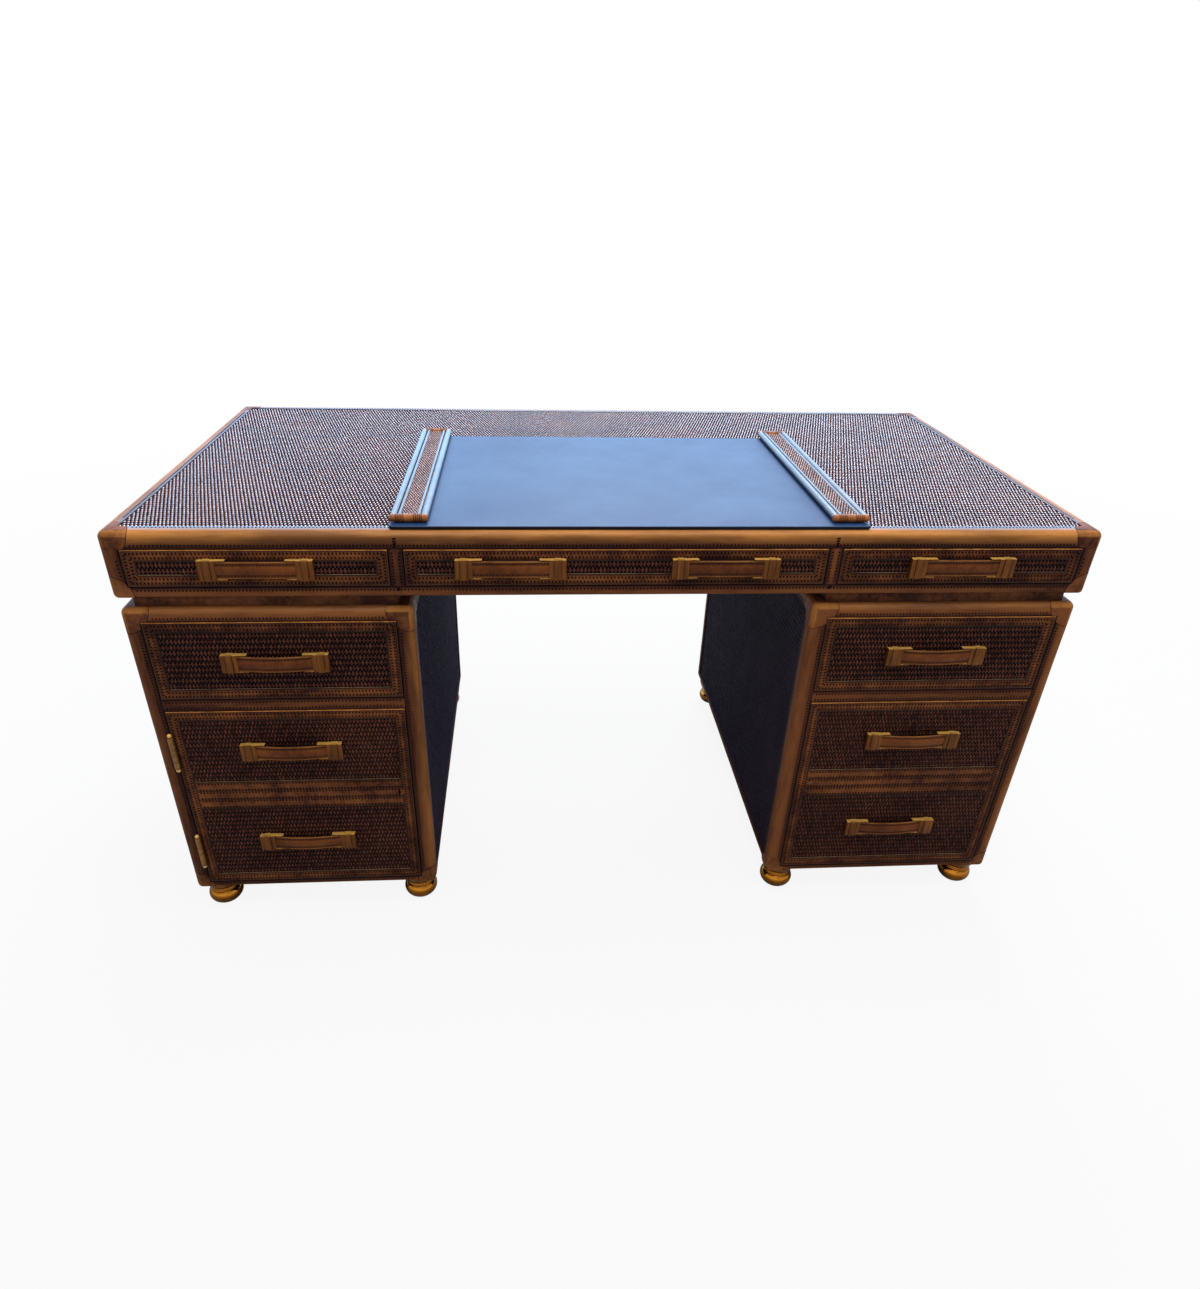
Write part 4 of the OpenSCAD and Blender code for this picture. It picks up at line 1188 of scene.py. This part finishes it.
def makePad():
    s = padSet
    low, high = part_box("desk_pad")
    bm = newBox(low, high)
    corners = [edge for edge in bm.edges if not near(edge.verts[0].co.z, edge.verts[1].co.z, tiny)]
    roundEdges(bm, corners, s["corner"], 6)
    softenEdges(bm, s["edgeRound"], 3)
    for axis in (0, 1):
        cutEvenly(bm, axis, low, high, round((high - low)[axis] / s["cell"]))
    stain = leatherMarks(bm)[0]
    for vert in bm.verts:
        vert[stain] = float(vert.co.z < high.z - s["edgeRound"] * 0.4)
        if vert.co.z > high.z - 1e-5:
            vert.co.z -= s["wave"] * (1 + noise.noise(vert.co * s["waveScale"]))
    # The cover's blue top is a painted reflection
    addPiece(bm, "pad_leather_cover", "pad", [padLeatherPaintedReflection], ["desk_pad"])


def turnTo(bm, place, along):
    turn = Vector(along).to_track_quat("Z", "Y").to_matrix().to_4x4()
    bmesh.ops.transform(bm, matrix=Matrix.Translation(place) @ turn, verts=bm.verts)


def makePole(start, end, kind, cuts=14):
    # A slightly uneven rod with rounded ends
    start, end = Vector(start), Vector(end)
    radius, along = padSet[kind], end - start
    bm = bmesh.new()
    bmesh.ops.create_cone(bm, cap_ends=True, segments=padSet["sides"][kind], radius1=radius, radius2=radius,
                          depth=along.length)
    roundEdges(bm, [edge for edge in bm.edges if edge.calc_face_angle(0.0) > 1.2],
               radius * padSet["poleRound"], 3)
    length = along.length - radius
    cutAcross(bm, 2, [-length / 2 + length * k / cuts for k in range(cuts + 1)])
    turnTo(bm, (start + end) / 2, along)
    stain, wearAndHighlight, _ = leatherMarks(bm)
    (stainScale, strength), (wearScale, usual, more) = padSet["poleStain"], padSet["poleWear"]
    for vert in bm.verts:
        vert[stain] = max(0.0, noise.noise(vert.co * stainScale)) * strength
        vert[wearAndHighlight] = usual + more * noise.noise(vert.co * wearScale)
    return toMesh(bm, "pole")


def makeWrap(place):
    # One turn of binding round an end pole
    thick, (sides, turns) = padSet["wrapThick"], padSet["wrapSides"]
    bm = bmesh.new()
    ring = bmesh.ops.create_circle(bm, cap_ends=False, segments=sides, radius=thick)["verts"]
    bmesh.ops.rotate(bm, matrix=Matrix.Rotation(math.radians(90), 3, "X"), verts=ring)
    bmesh.ops.translate(bm, vec=(padSet["wrapRadius"] - thick, 0, 0), verts=ring)
    bmesh.ops.spin(bm, geom=bm.verts[:] + bm.edges[:], cent=(0, 0, 0), axis=(0, 0, 1), angle=math.tau,
                   steps=turns, use_merge=True)
    bmesh.ops.recalc_face_normals(bm, faces=bm.faces)
    turnTo(bm, place, right)
    leatherMarks(bm, edgeStain=padSet["wrapStain"])
    return toMesh(bm, "wrap")


def makePadRails():
    s = padSet
    thick, thin, inset = s["thickPole"], s["thinPole"], s["wrapRadius"]
    thickX = thick + s["thickIn"]
    thinX = thickX + thick + s["poleGap"] + thin
    sidePoles, endPoles, wraps, trays = [], [], [], []
    for number, (low, high) in enumerate(solidBoxes("pad_rails")):
        y0, y1, z = low.y + inset, high.y - inset, high.z - inset
        for x, inward in ((low.x, 1), (high.x, -1)):
            for kind, far, middle in (("thickPole", thickX, high.z - thick - s["thickIn"]),
                                      ("thinPole", thinX, high.z - thin - s["thinDown"])):
                poleX = x + inward * far
                sidePoles.append(makePole((poleX, y0, middle), (poleX, y1, middle), kind))
        for y in (y0, y1):
            endPoles.append(makePole((low.x + s["endIn"], y, z), (high.x - s["endIn"], y, z), "endPole", 6))
            wraps += [makeWrap((x, y, z)) for away in s["wraps"] for x in (low.x + away, high.x - away)]
        weaveLow, weaveHigh = solidBoxes("pad_rail_weaves")[number]
        trays.append(plainBar((low.x + inset, y0, low.z), (high.x - inset, y1, weaveLow.z)))
        weaveLow.x, weaveHigh.x = low.x + thinX + thin * 0.5, high.x - thinX - thin * 0.5
        wovenPanel("pad_rail_strands_" + str(number + 1), "pad", weaveLow, weaveHigh, up, "rail",
                   railStrands, ["pad_rail_weaves"], seed=80 + number)
    for meshes, name, material, stands in ((sidePoles, "side_poles", waxedPole, ["pad_rails"]),
                                           (endPoles, "end_poles", poleLeather, ()),
                                           (trays, "trays", panelWood, ()),
                                           (wraps, "wraps", strapLeather, ())):
        addPiece(gathered(meshes), "pad_rail_" + name, "pad", [material], stands)


makePad()
makePadRails()
print("desk pad made")


# Leather caps on the corners of the top unit and the pedestals

def cornerCaps(unit, members, wider, inset, name, upperEnd):
    # The skin of the posts, rails and mouldings inside a ball at each corner of the unit's rounded
    # box; the upper caps end at the given height
    low, high = unit[0] + Vector((inset,) * 3), unit[1] - Vector((inset,) * 3)
    box = newBox(low, high)
    roundOutside(box, box.edges[:], (low, high), 8)
    balls = []
    for place, radius in cornersOf(unit):
        ball = bmesh.new()
        bmesh.ops.create_icosphere(ball, subdivisions=4, radius=radius + wider,
                                   matrix=Matrix.Translation(place))
        if place.z > upperEnd:
            bmesh.ops.bisect_plane(ball, geom=everything(ball), plane_co=(0, 0, upperEnd), plane_no=up,
                                   clear_inner=True, dist=tiny)
            bmesh.ops.holes_fill(ball, edges=ball.edges[:])
        balls.append(toMesh(ball, name))
    spread = Vector((capSet["overlap"],) * 3)
    bars = [toMesh(newBox(low - spread, high + spread), name) for low, high in members]
    made = placed(name, toMesh(box, name))
    cutters = [placed(name + "Cutter", toMesh(gathered(meshes), name)) for meshes in (balls, bars)]
    for cutter in cutters:
        cut = made.modifiers.new("Caps", "BOOLEAN")
        cut.operation, cut.solver, cut.use_self, cut.object = "INTERSECT", "EXACT", True, cutter
    mesh = evaluated(made)
    for obj in (made, *cutters):
        bpy.data.objects.remove(obj)
    return mesh


def makeCaps():
    s = capSet
    for unit, name in zip((topUnit, *pedestals), ("top_unit", "left_pedestal", "right_pedestal")):
        if unit is topUnit:
            members, upperEnd = topBars, min(low.z for low, high in solidBoxes("top_mouldings"))
        else:
            members = [box for node in ("pedestal_posts", "pedestal_front_rails", "pedestal_edge_rails")
                       for box in solidBoxes(node) if box[0].x * unit[0].x > 0]
            upperEnd = unit[1].z - s["upper"] - s["below"]
        # The seam pieces are dark shells a little outside and below the caps: painted shadow lines round
        # each cap
        for suffix, wider, inset, material in (("_corner_caps", 0.0, 0.0, stitchedLeather),
                                               ("_cap_seam_shadows", s["seam"], s["seamDepth"], threadMaterial)):
            bm = gathered([cornerCaps(unit, members, wider, inset, name, upperEnd)])
            stain, wearAndHighlight, _ = leatherMarks(bm)
            for vert in bm.verts:
                hits = sum(any(near(vert.co[axis], corner[axis], s["edgeWithin"]) for corner in unit)
                           for axis in range(3))
                lower = int(vert.co.z <= unit[1].z - s["upperPart"])
                # Upper cap edges get more of the wear and painted highlight than lower ones
                vert[wearAndHighlight] = s["wearAndHighlight"][lower] if hits > 1 else 0.0
                vert[stain] = s["stain"][lower]
            addPiece(bm, name + suffix, "carcass", [material])


makeCaps()
print("corner caps made")


# Carried-over wood and hardware

for node in ("top_board", "dust_board", "pedestal_boards", "cabinet_shelf"):
    finishNode(node, panelWood, 0.0008)
for node in [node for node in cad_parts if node.endswith("_box")] + ["drawer_guides"]:
    finishNode(node, boardWood, 0.0007)
for node, metal in (("hinge_frame_leaves", hingeBrass), ("hinge_door_leaves", hingeBrass),
                    ("hinge_pins", rubbedAndHighlitBrass), ("shelf_pins", rubbedAndHighlitBrass), ("door_lock", agedBrass)):
    finishNode(node, metal, 0.0002)

for stitchedBody, rows in stitchRows.items():
    addPiece(gathered(rows), stitchedBody + "_stitches", stitchedBody, [threadMaterial])
print("stitches, wood and hardware finished")


# Lights, floor and background

lightSet = {
    # place, aim, size, power and colour
    "backLamp": ((0.5, 2.9, 3.6), (0, 0, 0.7), (2.4, 1.2), 230, (0.84, 0.91, 1.0)),
    "frontFill": ((-1.6, -3.6, 2.6), (0, 0, 0.4), (4.0, 3.0), 13, (1.0, 0.95, 0.88)),
    "overhead": ((0.2, -0.55, 3.2), (0, 0, 0.4), (3.0, 3.0), 110, (1.0, 0.97, 0.92)),
}
cardSet = {"y": 4.5, "half": 14.0, "top": 7.0, "lowColour": (0.30, 0.61, 1.0, 1),
           "highColour": (0.62, 0.76, 1.0, 1), "low": 4.6, "high": 3.5, "lowUntil": 1.5, "highFrom": 4.0}
worldGrey = (0.33, 0.34, 0.38, 1.0)
floorSet = {"half": 60.0, "colour": (0.5, 0.5, 0.5, 1), "roughness": 0.9, "nearWhite": 0.9, "nearUntil": 1.2,
            "farFrom": 3.5}
white = {"Color": (1, 1, 1, 1), "Strength": 1.0}


def makeLights():
    for name, (place, aim, size, power, colour) in lightSet.items():
        data = bpy.data.lights.new(name, "AREA")
        data.shape = "RECTANGLE"
        data.size, data.size_y = size
        data.energy, data.color = power, colour
        lamp = placed(name, data)
        lamp.location = place
        lamp.rotation_euler = (Vector(aim) - Vector(place)).to_track_quat("-Z", "Y").to_euler()


def makeWorld():
    # Lights the desk in grey but looks white itself
    world = bpy.data.worlds.new("studio")
    scene.world = world
    world.use_nodes = True
    tree = world.node_tree
    lighting = tree.nodes["Background"]
    lighting.inputs["Color"].default_value = worldGrey
    rays = addNode(tree, "LightPath").outputs
    seen = calc(tree, "MAXIMUM", rays["Is Camera Ray"], rays["Is Glossy Ray"])
    seen = calc(tree, "MAXIMUM", seen, rays["Is Transmission Ray"])
    bright = addNode(tree, "Background", white).outputs[0]
    mix = addNode(tree, "MixShader", {0: seen, 1: lighting.outputs[0], 2: bright})
    fill(tree, tree.nodes["World Output"], {"Surface": mix.outputs[0]})


def stageObject(bm, name):
    # An object of the studio with its own material's tree
    obj = placed(name, toMesh(bm, name))
    material = bpy.data.materials.new(name)
    material.use_nodes = True
    obj.data.materials.append(material)
    tree = material.node_tree
    return obj, tree, tree.nodes["Material Output"], addNode(tree, "TexCoord").outputs["Object"]


def makeFloor():
    # The camera sees it nearly white, and plain white further off, but it keeps the desk's shadow
    s = floorSet
    bm = bmesh.new()
    bmesh.ops.create_grid(bm, x_segments=1, y_segments=1, size=s["half"])
    _, tree, output, place = stageObject(bm, "floor")
    matte = tree.nodes["Principled BSDF"]
    fill(tree, matte, {"Base Color": s["colour"], "Roughness": s["roughness"], "Specular IOR Level": 0.0})
    away = addNode(tree, "VectorMath", {0: place}, operation="LENGTH").outputs["Value"]
    share = times(tree, addNode(tree, "LightPath").outputs["Is Camera Ray"],
                  ranged(tree, away, s["nearUntil"], s["farFrom"], s["nearWhite"], 1.0))
    glow = addNode(tree, "Emission", white).outputs[0]
    mix = addNode(tree, "MixShader", {0: share, 1: matte.outputs[0], 2: glow})
    fill(tree, output, {"Surface": mix.outputs[0]})


def makeCard():
    # A pale blue card behind the desk that only its shiny parts see, brightest low down like a window
    s = cardSet
    bm = bmesh.new()
    bm.faces.new([bm.verts.new((x, s["y"], z)) for x, z in
                  ((-s["half"], 0), (s["half"], 0), (s["half"], s["top"]), (-s["half"], s["top"]))])
    card, tree, output, place = stageObject(bm, "blueCard")
    card.visible_camera = card.visible_diffuse = card.visible_shadow = card.visible_transmission = False
    high = addNode(tree, "SeparateXYZ", {0: place}).outputs["Z"]
    share = ranged(tree, high, s["lowUntil"], s["highFrom"])
    strength = ranged(tree, share, 0.0, 1.0, s["low"], s["high"])
    colour = mixed(tree, share, s["lowColour"], s["highColour"])
    glow = addNode(tree, "Emission", {"Color": colour, "Strength": strength})
    fill(tree, output, {"Surface": glow.outputs[0]})


makeLights()
makeWorld()
makeFloor()
makeCard()
scene.view_settings.view_transform = "Standard"
print("studio set")
